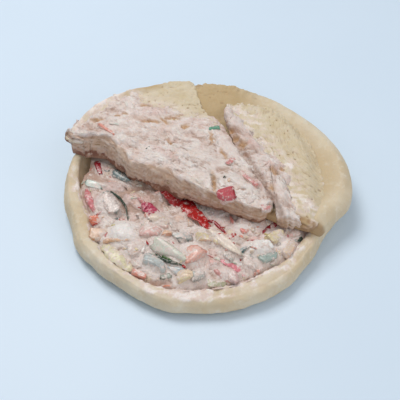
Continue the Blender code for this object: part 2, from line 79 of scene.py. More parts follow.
# Torn slits in the cream on the flap and hollows along the tear: x, y, length, width, heading, depth
SLITS = (
    (-35.5, 51.6, 7.0, 2.2, 4, 1.2), (-27.3, 52.3, 8.0, 2.4, -4, 1.2), (-19.6, 40.9, 9.5, 2.8, 12, 1.6),
    (-13.5, 43.6, 7.0, 2.4, 4, 1.3), (-11.5, 33.4, 5.5, 3.2, 35, 1.4), (-31.0, 37.6, 12.0, 1.9, -8, 1.0),
    (-24.0, 38.0, 8.0, 1.8, -42, 1.0), (-46.7, 43.0, 4.0, 1.6, -30, 0.8), (-50.6, 41.0, 5.0, 1.5, 10, 0.7),
    (-62.0, 39.0, 8.0, 1.6, 6, 0.8), (-20.3, 21.4, 6.0, 1.5, -58, 1.2), (0.3, -14.6, 5.5, 3.8, 60, 1.3),
    (3.9, -7.0, 16.0, 2.2, -84, 1.8), (3.0, 24.5, 9.0, 2.0, -78, 1.3), (9.5, 14.0, 8.0, 1.8, -66, 0.9),
)
HOLLOWS = (
    (16.6, 27.3, 4.5, 3.2, -40, 1.8), (20.6, 22.4, 5.0, 3.4, -35, 1.9), (36.5, 3.1, 5.5, 3.6, -50, 1.6),
    (35.2, -9.0, 5.0, 2.6, -60, 1.4), (14.4, 34.0, 4.0, 2.2, -60, 1.4), (41.8, 5.0, 4.0, 2.0, 0, 0.9),
)


# Shape functions, in millimetres, on arrays

def smoothstep(value):
    """A smooth rise from 0 to 1 while the value goes from 0 to 1."""
    t = np.clip(value, 0.0, 1.0)
    return t * t * (3.0 - 2.0 * t)


def ramp(value, start, width):
    """0 up to a start, and a smooth rise to 1 over a width."""
    return smoothstep((value - start) / width)


def fall(value, end, width):
    """1, and a smooth fall over a width to 0 at an end."""
    return smoothstep((end - value) / width)


def hump(value, width, power=2):
    """1 at 0, falling off over a width. A higher power gives it a flatter top."""
    return np.exp(-((value / width) ** power))


def bell(angle, middle, width):
    """A hump round an angle in degrees."""
    return hump((np.asarray(angle, float) - middle + 180.0) % 360.0 - 180.0, width)


def dyed(tint, colour, share):
    """Colours in an array, shifted towards another colour by a share at each point."""
    share = np.asarray(share)[..., None]
    return tint * (1 - share) + np.array(colour) * share


def table(function):
    """A function of the angle in degrees, tabled once and then read between its entries."""
    angles = np.arange(-180.0, 180.5, 0.5)
    values = np.array([function(a) for a in angles])
    return lambda a: np.interp((np.asarray(a, float) + 180.0) % 360.0 - 180.0, angles, values)


def read_table(rows, angle):
    """A value at an angle in degrees, on a smooth curve through the rows of a table that closes on itself."""
    rows = ((rows[-2][0] - 360.0, rows[-2][1]), *rows, (rows[1][0] + 360.0, rows[1][1]))
    for before, start, end, after in zip(rows, rows[1:], rows[2:], rows[3:]):
        if angle <= end[0]:
            break
    span = end[0] - start[0]
    t = (angle - start[0]) / span
    leave = (end[1] - before[1]) / (end[0] - before[0]) * span
    arrive = (after[1] - start[1]) / (after[0] - start[0]) * span
    rise = t * t * (3.0 - 2.0 * t)
    return start[1] + (end[1] - start[1]) * rise + (leave * (1.0 - t) - arrive * t) * t * (1.0 - t)


def radius_at(angle):
    turn = math.radians(angle)
    uneven = noise.noise(Vector((math.cos(turn) / 0.34, math.sin(turn) / 0.34, 2.0)))
    return read_table(RIM_RADII, angle) + 0.4 * uneven


def height_at(angle):
    turn = math.radians(angle)
    uneven = noise.noise(Vector((math.cos(turn) / 0.40, math.sin(turn) / 0.40, 5.0)))
    for (start, low), (end, high) in zip(RIM_HEIGHTS, RIM_HEIGHTS[1:]):
        if angle <= end:
            return low + (high - low) * smoothstep((angle - start) / (end - start)) + uneven
    return RIM_HEIGHTS[-1][1] + uneven


rim_radius = table(radius_at)
rim_height = table(height_at)
rim_band = table(lambda angle: read_table(RIM_BANDS, angle))


def angle_of(x, y):
    return np.degrees(np.arctan2(y, x))


def inner_radius(angle):
    """Radius of the rim's inner side."""
    return rim_radius(angle) - rim_band(angle)


def front_share(angle):
    """1 along the open front of the rim, 0 where the upper layer joins it."""
    turn = (np.asarray(angle, float) + 360.0) % 360.0
    return ramp(turn, 162.0, 16.0) * fall(turn, 350.0, 22.0)


def rim_lean(angle):
    """How far the top of the rim stands inside its widest circle."""
    return RIM_THICKNESS / 2.0 + RIM_LEAN * (rim_band(angle) - RIM_THICKNESS)


def lip_top(x, y):
    """Height of the rim's upper side between its crest and the mix."""
    angle, radius = angle_of(x, y), np.hypot(x, y)
    crest, inner = rim_radius(angle) - rim_lean(angle), inner_radius(angle)
    share = np.clip((crest - radius) / (crest - inner), 0.0, 1.0)
    return rim_height(angle) - RIM_THICKNESS / 2.0 * (1.0 - np.sqrt(1.0 - share * share))


def fold_frame(x, y):
    """Distance along the fold's straight line and behind it."""
    dx, dy = x - FOLD_LEFT[0], y - FOLD_LEFT[1]
    return dx * FOLD_ALONG[0] + dy * FOLD_ALONG[1], dy * FOLD_ALONG[0] - dx * FOLD_ALONG[1]


def behind_fold(x, y):
    """Distance behind the bowed fold, and the share of the way along it."""
    u, v = fold_frame(x, y)
    share = u / FOLD_LENGTH
    inside = np.clip(share, 0.0, 1.0)
    return v + 4.0 * FOLD_BOW * inside * (1.0 - inside), share


def set_back(share):
    """How far the lower edge of the fold stands back at its left end."""
    return 7.0 * hump(np.asarray(share, float) - 0.12, 0.085)


def behind_edge(x, y):
    """Distance behind the lower edge of the fold."""
    behind, share = behind_fold(x, y)
    return behind - set_back(share)


def fold_point(share):
    """A point on the bowed fold, from its left end to its right."""
    forward = np.array((FOLD_ALONG[1], -FOLD_ALONG[0]))
    return FOLD_LEFT * (1 - share) + FOLD_RIGHT * share + forward * 4 * FOLD_BOW * share * (1 - share)


def right_of_tear(x, y):
    return (y - TEAR_BACK[1]) * TEAR_ALONG[0] - (x - TEAR_BACK[0]) * TEAR_ALONG[1]


def hinge_edge_radius(angle):
    return rim_radius(angle) + 0.8 + 1.2 * bell(angle, 60, 50)


def quarter(share, power=2.0):
    """A rounded rise from 0 to 1, steep at its start and level at its end."""
    t = np.clip(share, 0.0, 1.0)
    return (1.0 - (1.0 - t) ** power) ** (1.0 / power)


def swell(angle, radius):
    """How much the upper layer swells near its back rim."""
    height = BACK_SWELL * hump(angle - 88.0, 17.0, 4) + 0.5 * BACK_SWELL * bell(angle, 62, 14)
    return height * ramp(radius, 42.0, 28.0)


def hinge_plane(x, y):
    """The slope on which the upper layer and the flap lie."""
    return HINGE_HEIGHT + HINGE_SLOPE[0] * x + HINGE_SLOPE[1] * y


def hinge_face(x, y, inset, drop):
    """A face of the upper layer, rounded down to the rim. The underside lies inset from the top."""
    angle, radius = angle_of(x, y), np.hypot(x, y)
    reach = (hinge_edge_radius(angle) - radius - inset) / (HINGE_REACH - inset)
    edge = rim_height(angle) - 2.0 - drop
    level = hinge_plane(x, y) + swell(angle, radius) - inset
    return edge + (level - edge) * quarter(reach, HINGE_SQUARENESS)


def hinge_top(x, y):
    return hinge_face(x, y, 0.0, 0.0)


def hinge_under(x, y):
    return hinge_face(x, y, LAYER, 1.5)


def left_flap_under(x, y):
    return hinge_plane(x, y) - FLAP_SINK + 3.6 * smoothstep(behind_fold(x, y)[0] / 40.0)


def left_flap_top(x, y):
    return left_flap_under(x, y) + LAYER


def right_flap_under(x, y):
    behind = behind_fold(x, y)[0]
    ride = 2.6 * hump(right_of_tear(x, y), 11.0) * smoothstep(behind / 8.0)
    return hinge_plane(x, y) - FLAP_SINK + 2.2 * smoothstep(behind / 55.0) + ride


def right_flap_top(x, y):
    return right_flap_under(x, y) + LAYER


# Noise

def corner_hash(ix, iy, iz, seed):
    h = (ix * 374761393 + iy * 668265263 + iz * 2147483647 + seed * 974711 + 1013904223) & 0xFFFFFFFF
    h = ((h ^ (h >> 13)) * 1274126177) & 0xFFFFFFFF
    return (h ^ (h >> 16)) & 0xFFFFFFFF


def grain(x, y, z=0.0, seed=0):
    """Gradient noise from about -1 to 1, with features of size 1."""
    x, y, z = np.broadcast_arrays(np.asarray(x, float), np.asarray(y, float), np.asarray(z, float))
    x, y, z = x + 37.13 * seed, y - 19.71 * seed, z + 5.37 * seed
    ix, iy, iz = (np.floor(v).astype(np.int64) for v in (x, y, z))
    fx, fy, fz = x - ix, y - iy, z - iz
    wx, wy, wz = (f * f * f * (f * (f * 6 - 15) + 10) for f in (fx, fy, fz))
    total = 0.0
    for cx in (0, 1):
        for cy in (0, 1):
            for cz in (0, 1):
                h = corner_hash(ix + cx, iy + cy, iz + cz, seed)
                turn = (h & 1023) / 1023.0 * 2 * math.pi
                tilt = ((h >> 10) & 1023) / 511.5 - 1.0
                flat = np.sqrt(np.maximum(0.0, 1.0 - tilt * tilt))
                dot = (fx - cx) * np.cos(turn) * flat + (fy - cy) * np.sin(turn) * flat + (fz - cz) * tilt
                weight = (wx if cx else 1 - wx) * (wy if cy else 1 - wy) * (wz if cz else 1 - wz)
                total = total + weight * dot
    return total * 1.6


def rough(x, y, z=0.0, seed=0, octaves=3):
    """Noise with finer and fainter copies of itself on top."""
    total, strength, size = 0.0, 1.0, 1.0
    for k in range(octaves):
        total = total + strength * grain(x * size, y * size, z * size, seed + 11 * k)
        strength *= 0.5
        size *= 2.03
    return total


def creases(x, y, length, width, seed):
    """1 along thin wandering creases, in patches."""
    line = fall(np.abs(grain(x / length, y / width, 0.0, seed)), 0.075, 0.06)
    return line * ramp(grain(x / 8, y / 8, 0.0, seed + 1), -0.10, 0.25)


def billow(x, y, z=0.0, seed=0):
    """Rounded lumps from 0 to about 1, parted by sharp creases."""
    return np.sqrt(np.abs(grain(x, y, z, seed)) + 0.002)


# Mesh builders

def closed_curve(points, count):
    """Evenly spaced points on a smooth closed line through the given ones."""
    corners = [np.array(p, float) for p in points]
    fine = []
    for i in range(len(corners)):
        a, b, c, d = (corners[(i + k - 1) % len(corners)] for k in range(4))
        for step in range(16):
            t = step / 16.0
            fine.append(0.5 * (2 * b + (c - a) * t + (2 * a - 5 * b + 4 * c - d) * t * t
                               + (3 * b - a - 3 * c + d) * t ** 3))
    fine = np.array(fine + [fine[0]])
    lengths = np.concatenate([[0.0], np.cumsum(np.linalg.norm(np.diff(fine, axis=0), axis=1))])
    along = np.linspace(0.0, lengths[-1], count, endpoint=False)
    return np.stack([np.interp(along, lengths, fine[:, k]) for k in range(2)], axis=1)


def grid_normals(grid):
    """Outward unit normals of a grid of rings that go counter-clockwise, from below to above."""
    around = np.roll(grid, -1, 1) - np.roll(grid, 1, 1)
    across = np.empty_like(grid)
    across[1:-1] = grid[2:] - grid[:-2]
    across[0], across[-1] = grid[1] - grid[0], grid[-1] - grid[-2]
    normal = np.cross(around, across)
    return normal / np.maximum(np.linalg.norm(normal, axis=2, keepdims=True), 1e-9)


def in_scene(name, data):
    made = bpy.data.objects.new(name, data)
    bpy.context.scene.collection.objects.link(made)
    return made


def object_from(name, verts, faces, material, values):
    """A smooth mesh piece that rides on the part, with named point values for its material."""
    data = bpy.data.meshes.new(name)
    data.from_pydata(((np.asarray(verts) + CENTRE_SHIFT) * METRES).tolist(), [], faces)
    for key, value in values.items():
        value = np.asarray(value, np.float32)
        if value.ndim == 2:
            colours = data.color_attributes.new(key, "FLOAT_COLOR", "POINT")
            colours.data.foreach_set("color", value.reshape(-1))
        else:
            data.attributes.new(key, "FLOAT", "POINT").data.foreach_set("value", value)
    data.materials.append(material)
    data.shade_smooth()
    piece = in_scene(name, data)
    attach(piece, "root")
    return piece


def with_poles(value):
    """Grid values as a flat list, followed by those of the two poles."""
    flat = value.reshape(-1, *value.shape[2:])
    return np.concatenate([flat, value[0].mean(axis=0)[None], value[-1].mean(axis=0)[None]])


def ring_faces(rings, count, first=0):
    """Faces of stacked rings whose two poles follow them, from the number of their first point."""
    index = first + np.arange(rings * count).reshape(rings, count)
    a, b = index[:-1], np.roll(index[:-1], -1, 1)
    d, c = index[1:], np.roll(index[1:], -1, 1)
    faces = np.stack([a, b, c, d], axis=2).reshape(-1, 4).tolist()
    low, high = first + rings * count, first + rings * count + 1
    for i in range(count):
        j = (i + 1) % count
        faces.append((low, int(index[0, j]), int(index[0, i])))
        faces.append((high, int(index[-1, i]), int(index[-1, j])))
    return faces


def skin(name, low, grid, high, material, values, node):
    """A closed piece from rings of points stacked from a pole below to a pole above."""
    verts = np.concatenate([grid.reshape(-1, 3), [low], [high]])
    values = {key: with_poles(np.asarray(v)) for key, v in values.items()}
    piece = object_from(name, verts, ring_faces(*grid.shape[:2]), material, values)
    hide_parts(node)


def outline_round(centre, count, farthest, inside):
    """Points all round a centre, as far out as `inside` is true, by halving."""
    turn = 2 * math.pi * np.arange(count) / count
    heading = np.stack([np.cos(turn), np.sin(turn)], axis=1)
    near, far = np.zeros(count), np.full(count, farthest)
    for _ in range(34):
        middle = (near + far) / 2
        kept = inside(*(centre + heading * middle[:, None]).T)
        near, far = np.where(kept, middle, near), np.where(kept, far, middle)
    return centre + heading * near[:, None]


def inward(points, centre, distance):
    """Points moved towards a centre, but never quite onto it."""
    away = points - centre
    length = np.linalg.norm(away, axis=-1, keepdims=True)
    return points - away / length * np.minimum(distance, length * 0.98)


def slab_grid(outline, centre, under, over, steps, shares, turns=14, lean=0.0, tuck=99.0, crown=99.0):
    """Rings of a layer with a rounded edge, from its underside to its top, and for each point its
    distance in from the edge and for each ring its turn, from -90 for the underside to 90 for the top.
    `lean` moves the top edge away from the lower one, and `tuck` and `crown` limit how far the lower
    and the upper edge round inward. The steps shrink where the centre is near, so that no ring
    overtakes the next."""
    lean = np.zeros_like(outline) + lean
    half = (over(*outline.T) - under(*outline.T)) / 2.0
    rings, reach, turned = [], [], []

    def insets(line, start):
        length = np.linalg.norm(line - centre, axis=1)
        shrink = np.minimum(1.0, 0.6 * (length - start) / max(steps))
        near = [start + step * shrink for step in sorted(steps)]
        return near + [near[-1] + (length - near[-1]) * share for share in sorted(shares)]

    def flat(line, inset, height, turn):
        points = inward(line, centre, inset[:, None])
        rings.append(np.column_stack([points, height(points[:, 0], points[:, 1])]))
        reach.append(inset)
        turned.append(turn)

    tuck, crown = np.minimum(half, tuck), np.minimum(half, crown)
    for inset in insets(outline, tuck)[::-3]:
        flat(outline, inset, under, -90.0)
    for turn in np.linspace(-90.0, 90.0, turns):
        inset = (crown if turn > 0 else tuck) * (1.0 - math.cos(math.radians(turn)))
        q = inward(outline + lean * (turn + 90.0) / 180.0, centre, inset[:, None])
        low, high = under(*q.T), over(*q.T)
        z = (low + high) / 2.0 + (high - low) / 2.0 * math.sin(math.radians(turn))
        rings.append(np.column_stack([q, z]))
        reach.append(inset)
        turned.append(turn)
    for inset in insets(outline + lean, crown):
        flat(outline + lean, inset, over, 90.0)
    return np.array(rings), np.array(reach), np.array(turned)


def push_out(grid, turned, amount):
    """Moves points out along their normals at the edge of a layer, and straight up on its top."""
    flat = ramp(turned[:, None, None], 40.0, 45.0)
    direction = grid_normals(grid) * (1 - flat) + np.array((0.0, 0.0, 1.0)) * flat
    return grid + direction * amount[..., None]


def distance_to(outline, x, y):
    """Distance in plan from each point to the nearest point of an outline."""
    flat = np.stack([np.ravel(x), np.ravel(y)], axis=1)
    best = np.full(len(flat), 1e9)
    for start in range(0, len(flat), 4096):
        part = flat[start:start + 4096]
        apart = np.linalg.norm(part[:, None, :] - outline[None, ::2, :], axis=2)
        best[start:start + 4096] = apart.min(axis=1)
    return best.reshape(np.shape(x))


# Materials

class Look:
    """A material being put together, with short calls for the nodes that it takes."""

    def __init__(self, name):
        self.material = bpy.data.materials.new(name)
        self.material.use_nodes = True
        self.tree = self.material.node_tree
        self.shader = self.tree.nodes["Principled BSDF"]

    def put(self, socket, value):
        if hasattr(value, "is_output"):
            self.tree.links.new(value, socket)
        else:
            socket.default_value = value

    def give(self, node, **inputs):
        """Links or sets a node's inputs. An underscore stands for a space in their names."""
        for key, value in inputs.items():
            self.put(node.inputs[key.replace("_", " ")], value)

    def add(self, kind, **inputs):
        node = self.tree.nodes.new(kind)
        self.give(node, **inputs)
        return node

    def noise(self, size, detail=4.0, roughness=0.55, distortion=0.0):
        """Noise in the part's own space, with features of a size in millimetres."""
        place = self.add("ShaderNodeTexCoord").outputs["Object"]
        return self.add("ShaderNodeTexNoise", Vector=place, Scale=1.0 / (size * METRES), Detail=detail,
                        Roughness=roughness, Distortion=distortion).outputs["Fac"]

    def value(self, name, output="Fac"):
        """A named point value of the mesh."""
        node = self.add("ShaderNodeAttribute")
        node.attribute_name = name
        return node.outputs[output]

    def remap(self, value, low, high, to_low=0.0, to_high=1.0):
        node = self.add("ShaderNodeMapRange")
        node.interpolation_type = "SMOOTHSTEP"
        self.give(node, Value=value, From_Min=low, From_Max=high, To_Min=to_low, To_Max=to_high)
        return node.outputs["Result"]

    def calc(self, operation, a, b):
        node = self.add("ShaderNodeMath")
        node.operation = operation
        for socket, value in zip(node.inputs, (a, b)):
            self.put(socket, value)
        return node.outputs[0]

    def mix(self, factor, a, b, blend="MIX"):
        """One colour changed towards another by a factor."""
        node = self.add("ShaderNodeMix")
        node.data_type = "RGBA"
        node.blend_type = blend
        sockets = {s.identifier: s for s in node.inputs}
        for key, value in (("Factor_Float", factor), ("A_Color", a), ("B_Color", b)):
            self.put(sockets[key], (*value, 1.0) if isinstance(value, tuple) else value)
        return [s for s in node.outputs if s.identifier == "Result_Color"][0]

    def relief(self, height, strength, distance):
        """Raises the shaded surface by a height, at most by a distance in millimetres."""
        node = self.add("ShaderNodeBump", Height=height, Strength=strength, Distance=distance * METRES)
        self.give(self.shader, Normal=node.outputs["Normal"])

    def soften(self, weight, radius, scale):
        """Lets light in under the surface, over a scale in millimetres."""
        self.give(self.shader, Subsurface_Weight=weight, Subsurface_Radius=radius,
                  Subsurface_Scale=scale * METRES)


def bread_material():
    """Pale baked dough. `crumb` turns the smooth skin into the open crumb of the inside. The tan value bakes
    it a little darker, and in places darkens it as painted shade, under the fold and in the groove inside the
    rim bead. The shading value is -1 in a crease, where it darkens the dough as painted shade, and 1 on a
    ridge."""
    look = Look("bread_dough")
    broad = look.noise(34.0, 3.0)
    fine = look.noise(5.0, 5.0, 0.65)
    speck = look.noise(1.6, 3.0, 0.6)
    patch = look.noise(11.0, 4.0, 0.6, 0.7)
    colour = look.mix(look.remap(broad, 0.40, 0.66), (0.72, 0.63, 0.485), (0.64, 0.52, 0.355))
    colour = look.mix(look.remap(patch, 0.50, 0.66, 0.0, 0.5), colour, (0.64, 0.51, 0.33))
    colour = look.mix(look.remap(fine, 0.50, 0.70, 0.0, 0.55), colour, (0.80, 0.74, 0.64))
    crumb = look.mix(look.remap(fine, 0.36, 0.66), (0.69, 0.595, 0.445), (0.64, 0.53, 0.355))
    colour = look.mix(look.value("crumb"), colour, crumb)
    colour = look.mix(look.value("tan_and_shade"), colour, (0.53, 0.39, 0.215))
    colour = look.mix(look.remap(speck, 0.60, 0.74, 0.0, 0.25), colour, (0.50, 0.36, 0.19))
    creamy = look.mix(look.remap(fine, 0.42, 0.60), (0.74, 0.60, 0.53), (0.88, 0.80, 0.76))
    colour = look.mix(look.value("smear"), colour, creamy)
    # Painted shade: where the shading value is negative, in creases, the dough darkens towards deep brown.
    dip = look.remap(look.value("painted_shading"), -0.1, -1.5, 0.0, 0.92)
    colour = look.mix(dip, colour, (0.34, 0.20, 0.10))
    look.give(look.shader, Base_Color=colour, Roughness=look.remap(fine, 0.3, 0.7, 0.60, 0.82))
    look.soften(0.12, (1.0, 0.7, 0.4), 2.0)
    look.relief(look.calc("ADD", fine, look.calc("MULTIPLY", speck, 0.6)), 0.75, 0.6)
    return look.material


def cream_material():
    """The moist mix: off-white to pink. `tint` colours what the cream lies thin over, and in places it also
    carries painted shade, in the tear's crevice and on the face of the fold, and painted light just behind
    the fold. `brown` colours the torn slits and, partly as painted shade, the face of the fold. The shading
    value is -1 in a crease, darkened as painted shade, and 1 on a lump, lightened as a painted highlight."""
    look = Look("cream_and_cheese")
    broad = look.noise(22.0, 3.0)
    fine = look.noise(3.4, 5.0, 0.60, 0.6)
    small = look.noise(1.0, 3.0)
    colour = look.mix(look.remap(broad, 0.38, 0.62), (0.765, 0.655, 0.61), (0.72, 0.565, 0.51))
    colour = look.mix(look.remap(fine, 0.50, 0.70, 0.0, 0.7), colour, (0.82, 0.75, 0.71))
    colour = look.mix(look.remap(fine, 0.47, 0.30, 0.0, 0.6), colour, (0.64, 0.42, 0.34))
    # The cream veils a tint unevenly, except where the tint is at its full strength.
    strength = look.value("tint", "Alpha")
    veiled = look.calc("MULTIPLY", strength, look.remap(fine, 0.30, 0.66, 1.0, 0.5))
    weight = look.calc("MAXIMUM", veiled, look.remap(strength, 0.94, 0.99))
    colour = look.mix(weight, colour, look.value("tint", "Color"))
    # Painted shade in the creases and painted highlights on the lumps, from the shading value.
    painted_shading = look.value("painted_shading")
    colour = look.mix(look.remap(painted_shading, -0.05, -1.12, 0.0, 0.85), colour, (0.42, 0.25, 0.18))
    colour = look.mix(look.remap(painted_shading, 0.15, 0.9, 0.0, 0.7), colour, (0.86, 0.80, 0.76))
    colour = look.mix(look.value("brown"), colour, (0.54, 0.31, 0.15))
    look.give(look.shader, Base_Color=colour, Roughness=look.remap(small, 0.3, 0.7, 0.26, 0.50))
    look.soften(0.10, (1.0, 0.55, 0.35), 1.4)
    look.relief(look.calc("ADD", fine, look.calc("MULTIPLY", small, 0.6)), 1.0, 0.7)
    return look.material


def vegetable_material(name, roughness):
    """Wet cut vegetable. `colour` is the piece's own colour and `cover` how much of the mix lies on it."""
    look = Look(name)
    patch = look.noise(3.2, 4.0, 0.55, 0.8)
    fine = look.noise(1.2, 3.0)
    own = look.value("colour", "Color")
    tone = look.mix(look.remap(fine, 0.40, 0.68, 0.0, 0.35), own, (0.30, 0.14, 0.10), "MULTIPLY")
    wander = look.calc("ADD", look.remap(patch, 0.28, 0.72, -0.42, 0.42),
                       look.remap(fine, 0.30, 0.70, -0.22, 0.22))
    covered = look.remap(look.calc("ADD", look.value("cover"), wander), 0.14, 0.84, 0.0, 0.95)
    mixed = look.mix(look.remap(fine, 0.40, 0.62), (0.66, 0.52, 0.465), (0.78, 0.68, 0.635))
    look.give(look.shader, Base_Color=look.mix(covered, tone, mixed),
              Roughness=look.remap(covered, 0.0, 1.0, roughness, 0.42),
              Coat_Weight=0.25, Coat_Roughness=0.12)
    look.soften(0.12, (1.0, 0.5, 0.35), 1.6)
    look.relief(look.calc("ADD", fine, look.calc("MULTIPLY", patch, 0.8)), 0.45, 0.4)
    return look.material


bread = bread_material()
cream = cream_material()
FINISHES = {
    "red_pepper": vegetable_material("red_pepper_wet", 0.16),
    "pink_pepper": vegetable_material("pink_pepper_wet", 0.28),
    "cucumber": vegetable_material("cucumber_wet", 0.25),
    "yellow_pepper": vegetable_material("yellow_pepper_wet", 0.35),
    "pale_strip": vegetable_material("pale_strip_wet", 0.38),
    "cream_mix": vegetable_material("coated_pieces", 0.42),
}


# The bread

def arc(start, end, number):
    """Sine, cosine and share of a right angle for steps from one angle to another, in degrees."""
    for t in np.radians(np.linspace(start, end, number)):
        yield math.sin(t), math.cos(t), math.degrees(t) / 90.0


def pocket_rings(count):
    """The lower layer as rings from its underside, up the outside, over the rim and down into the dish.
    Also how much of a wall each ring is, from 0 to 1, and the height of the rim over each point."""
    angles = np.arange(count) * 360.0 / count
    radius, height = rim_radius(angles), rim_height(angles)
    front, lean, band = front_share(angles), rim_lean(angles), rim_band(angles)
    rounding = RIM_THICKNESS / 2.0
    widest = (height - rounding) * (1 - front) + RIM_FOOT * height * front
    foot, wall = FLAT_RADIUS - 1.0, radius - band
    rings = [(r, 0.0, 0.0) for r in (20.0, 40.0, 52.0, FLAT_RADIUS)]
    for s, c, share in arc(4, 90, 26):
        rings.append((FLAT_RADIUS + (radius - FLAT_RADIUS) * s, widest * (1 - c), share))
    for s, c, _ in arc(8, 90, 14):
        rings.append((radius - lean * (1 - c ** (1 - 0.35 * front)), widest + (height - widest) * s, 1.0))
    for s, c, _ in arc(12, 90, 12):
        rings.append((radius - lean - (band - lean) * s, height - rounding * (1 - c), 1.0))
    for s, c, _ in arc(88, 2, 18):
        rings.append((foot + (wall - foot) * s, LAYER + (height - rounding - LAYER) * (1 - c), 1.0))
    rings.append((40.0, LAYER, 0.0))
    turn = np.radians(angles)
    grid = np.array([np.column_stack([r * np.cos(turn), r * np.sin(turn), np.broadcast_to(z, (count,))])
                     for r, z, _ in rings])
    return grid, np.array([share for _, _, share in rings])[:, None], height


def build_pocket():
    grid, walls, height = pocket_rings(640)
    normal = grid_normals(grid)
    x, y, z = grid[..., 0], grid[..., 1], grid[..., 2]
    angle = angle_of(x, y)
    front = front_share(angle)
    around = np.radians(angle) * 70.0
    inset = (rim_radius(angle) - np.hypot(x, y)) * 5.0 / rim_band(angle) * 1.6
    on_rim = (walls > 0.9) * (z > height - 4.0)

    # Soft waves and wrinkles, and one long pleat along the front
    waves = 0.7 * grain(x / 19, y / 19, z / 19, 3) + 0.3 * rough(x / 7, y / 7, z / 5, 5)
    wrinkle = billow(around / 12.0, z / 2.0 + inset / 3.0, 0.0, 9) - 0.5
    pleat = hump(inset - 3.4 - 1.4 * grain(around / 26, 0.4, 0.0, 11), 0.9)
    pleat = pleat * bell(angle, -52, 34) * ramp(z, 5.0, 3.0)

    # The torn inner lip, daubed with the mix
    ragged = 1.4 * rough(x / 6.0, y / 6.0, 0.0, 15, 3)
    lip = front * ramp(inset + 1.2 * bell(angle, -98, 18) + ragged, 3.2, 1.2) * on_rim
    daubs = smoothstep((rough(x / 5.0, y / 5.0, z / 5.0, 13, 3) + 0.95 * bell(angle, -98, 16)) / 0.5)
    crumbs = (0.4 + rough(x / 2.6, y / 2.6, z / 2.6, 17, 3)) * lip * daubs
    ridge = hump(inset - 2.7 - 0.4 * rough(around / 9, 0.2, 0.0, 19, 2), 0.55)
    ridge = ridge * front * on_rim * (0.7 + 0.6 * rough(around / 4, 0.6, 0.0, 20, 2))
    torn = lip * (0.35 + 0.5 * rough(x / 3, y / 3, z / 3, 22, 2))
    raised = waves + 0.28 * wrinkle - 0.8 * pleat + 0.6 * crumbs + 0.55 * ridge + 0.3 * torn
    amount = smoothstep(walls * 3.0) * smoothstep(z / 3.0)
    grid = grid + normal * (raised * amount)[..., None]

    # Painted shade: the shading value is negative in the wrinkles and the pleat.
    painted_shading = wrinkle * 0.9 + 0.4 * rough(x / 6, y / 6, z / 6, 5) - pleat
    painted_shading = 0.5 * np.clip(painted_shading, -1, 1) * amount + 0.5 * crumbs
    # Tan in random patches, and darker towards the bottom of the outside.
    tan_and_shade = 0.45 * (1.0 - ramp(z, 0.5, 3.5)) + 0.35 * np.clip(rough(x / 22, y / 22, z / 22, 8, 3) + 0.1, 0, 1)
    tan_and_shade = tan_and_shade + 0.45 * bell(angle, 0, 20) * np.clip(rough(x / 9, y / 9, z / 9, 14, 2) + 0.3, 0, 1)
    smear = (0.95 * lip * daubs + 0.55 * torn + 0.35 * ridge) * ramp(angle, -154.0, 22.0)
    values = {"painted_shading": painted_shading, "tan_and_shade": np.clip(tan_and_shade, 0, 1), "crumb": np.zeros_like(x),
              "smear": np.clip(smear, 0, 1)}
    skin("pocket_bread", (0, 0, 0), grid, (0, 0, LAYER), bread, values, "bread")


def on_hinge(x, y):
    """Inside the upper layer, with its corners rounded. It stands back where the cream covers its edge."""
    covered = 1.6 * (1 - ramp(behind_fold(x, y)[1], 0.80, 0.08))
    limits = np.stack([behind_edge(x, y) - covered, hinge_edge_radius(angle_of(x, y)) - np.hypot(x, y)])
    return -2.5 * np.log(np.exp(-np.maximum(-60.0, limits) / 2.5).sum(axis=0)) > 0


def crumb_relief(x, y, seed, cx=4.0, cy=-4.0):
    """Fibres of the open crumb, which run in arcs round a centre: their height, and their shading value, with
    painted shade in the pores and between the fibres.
    """
    away = np.hypot(x - cx, y - cy)
    around = np.arctan2(y - cy, x - cx) * np.maximum(away, 12.0)
    radius = away + 1.6 * rough(x / 16, y / 16, 0.0, seed, 2) + 1.1 * rough(x / 5, y / 5, 0.0, seed + 5, 2)
    fibre = billow(around / 13.0, radius / 2.1, 0.0, seed + 1) - 0.5
    thread = rough(around / 8.0, radius / 0.95, 0.0, seed + 2, 2)
    lump = rough(x / 7.0, y / 5.0, 0.0, seed + 3, 2)
    pore = ramp(grain(x / 1.9, y / 1.9, 0.0, seed + 4), 0.50, 0.2)
    height = 0.40 * fibre + 0.28 * thread + 0.40 * lump - 0.5 * pore
    return height, 0.7 * fibre + 0.5 * thread + 0.3 * lump - 1.2 * pore


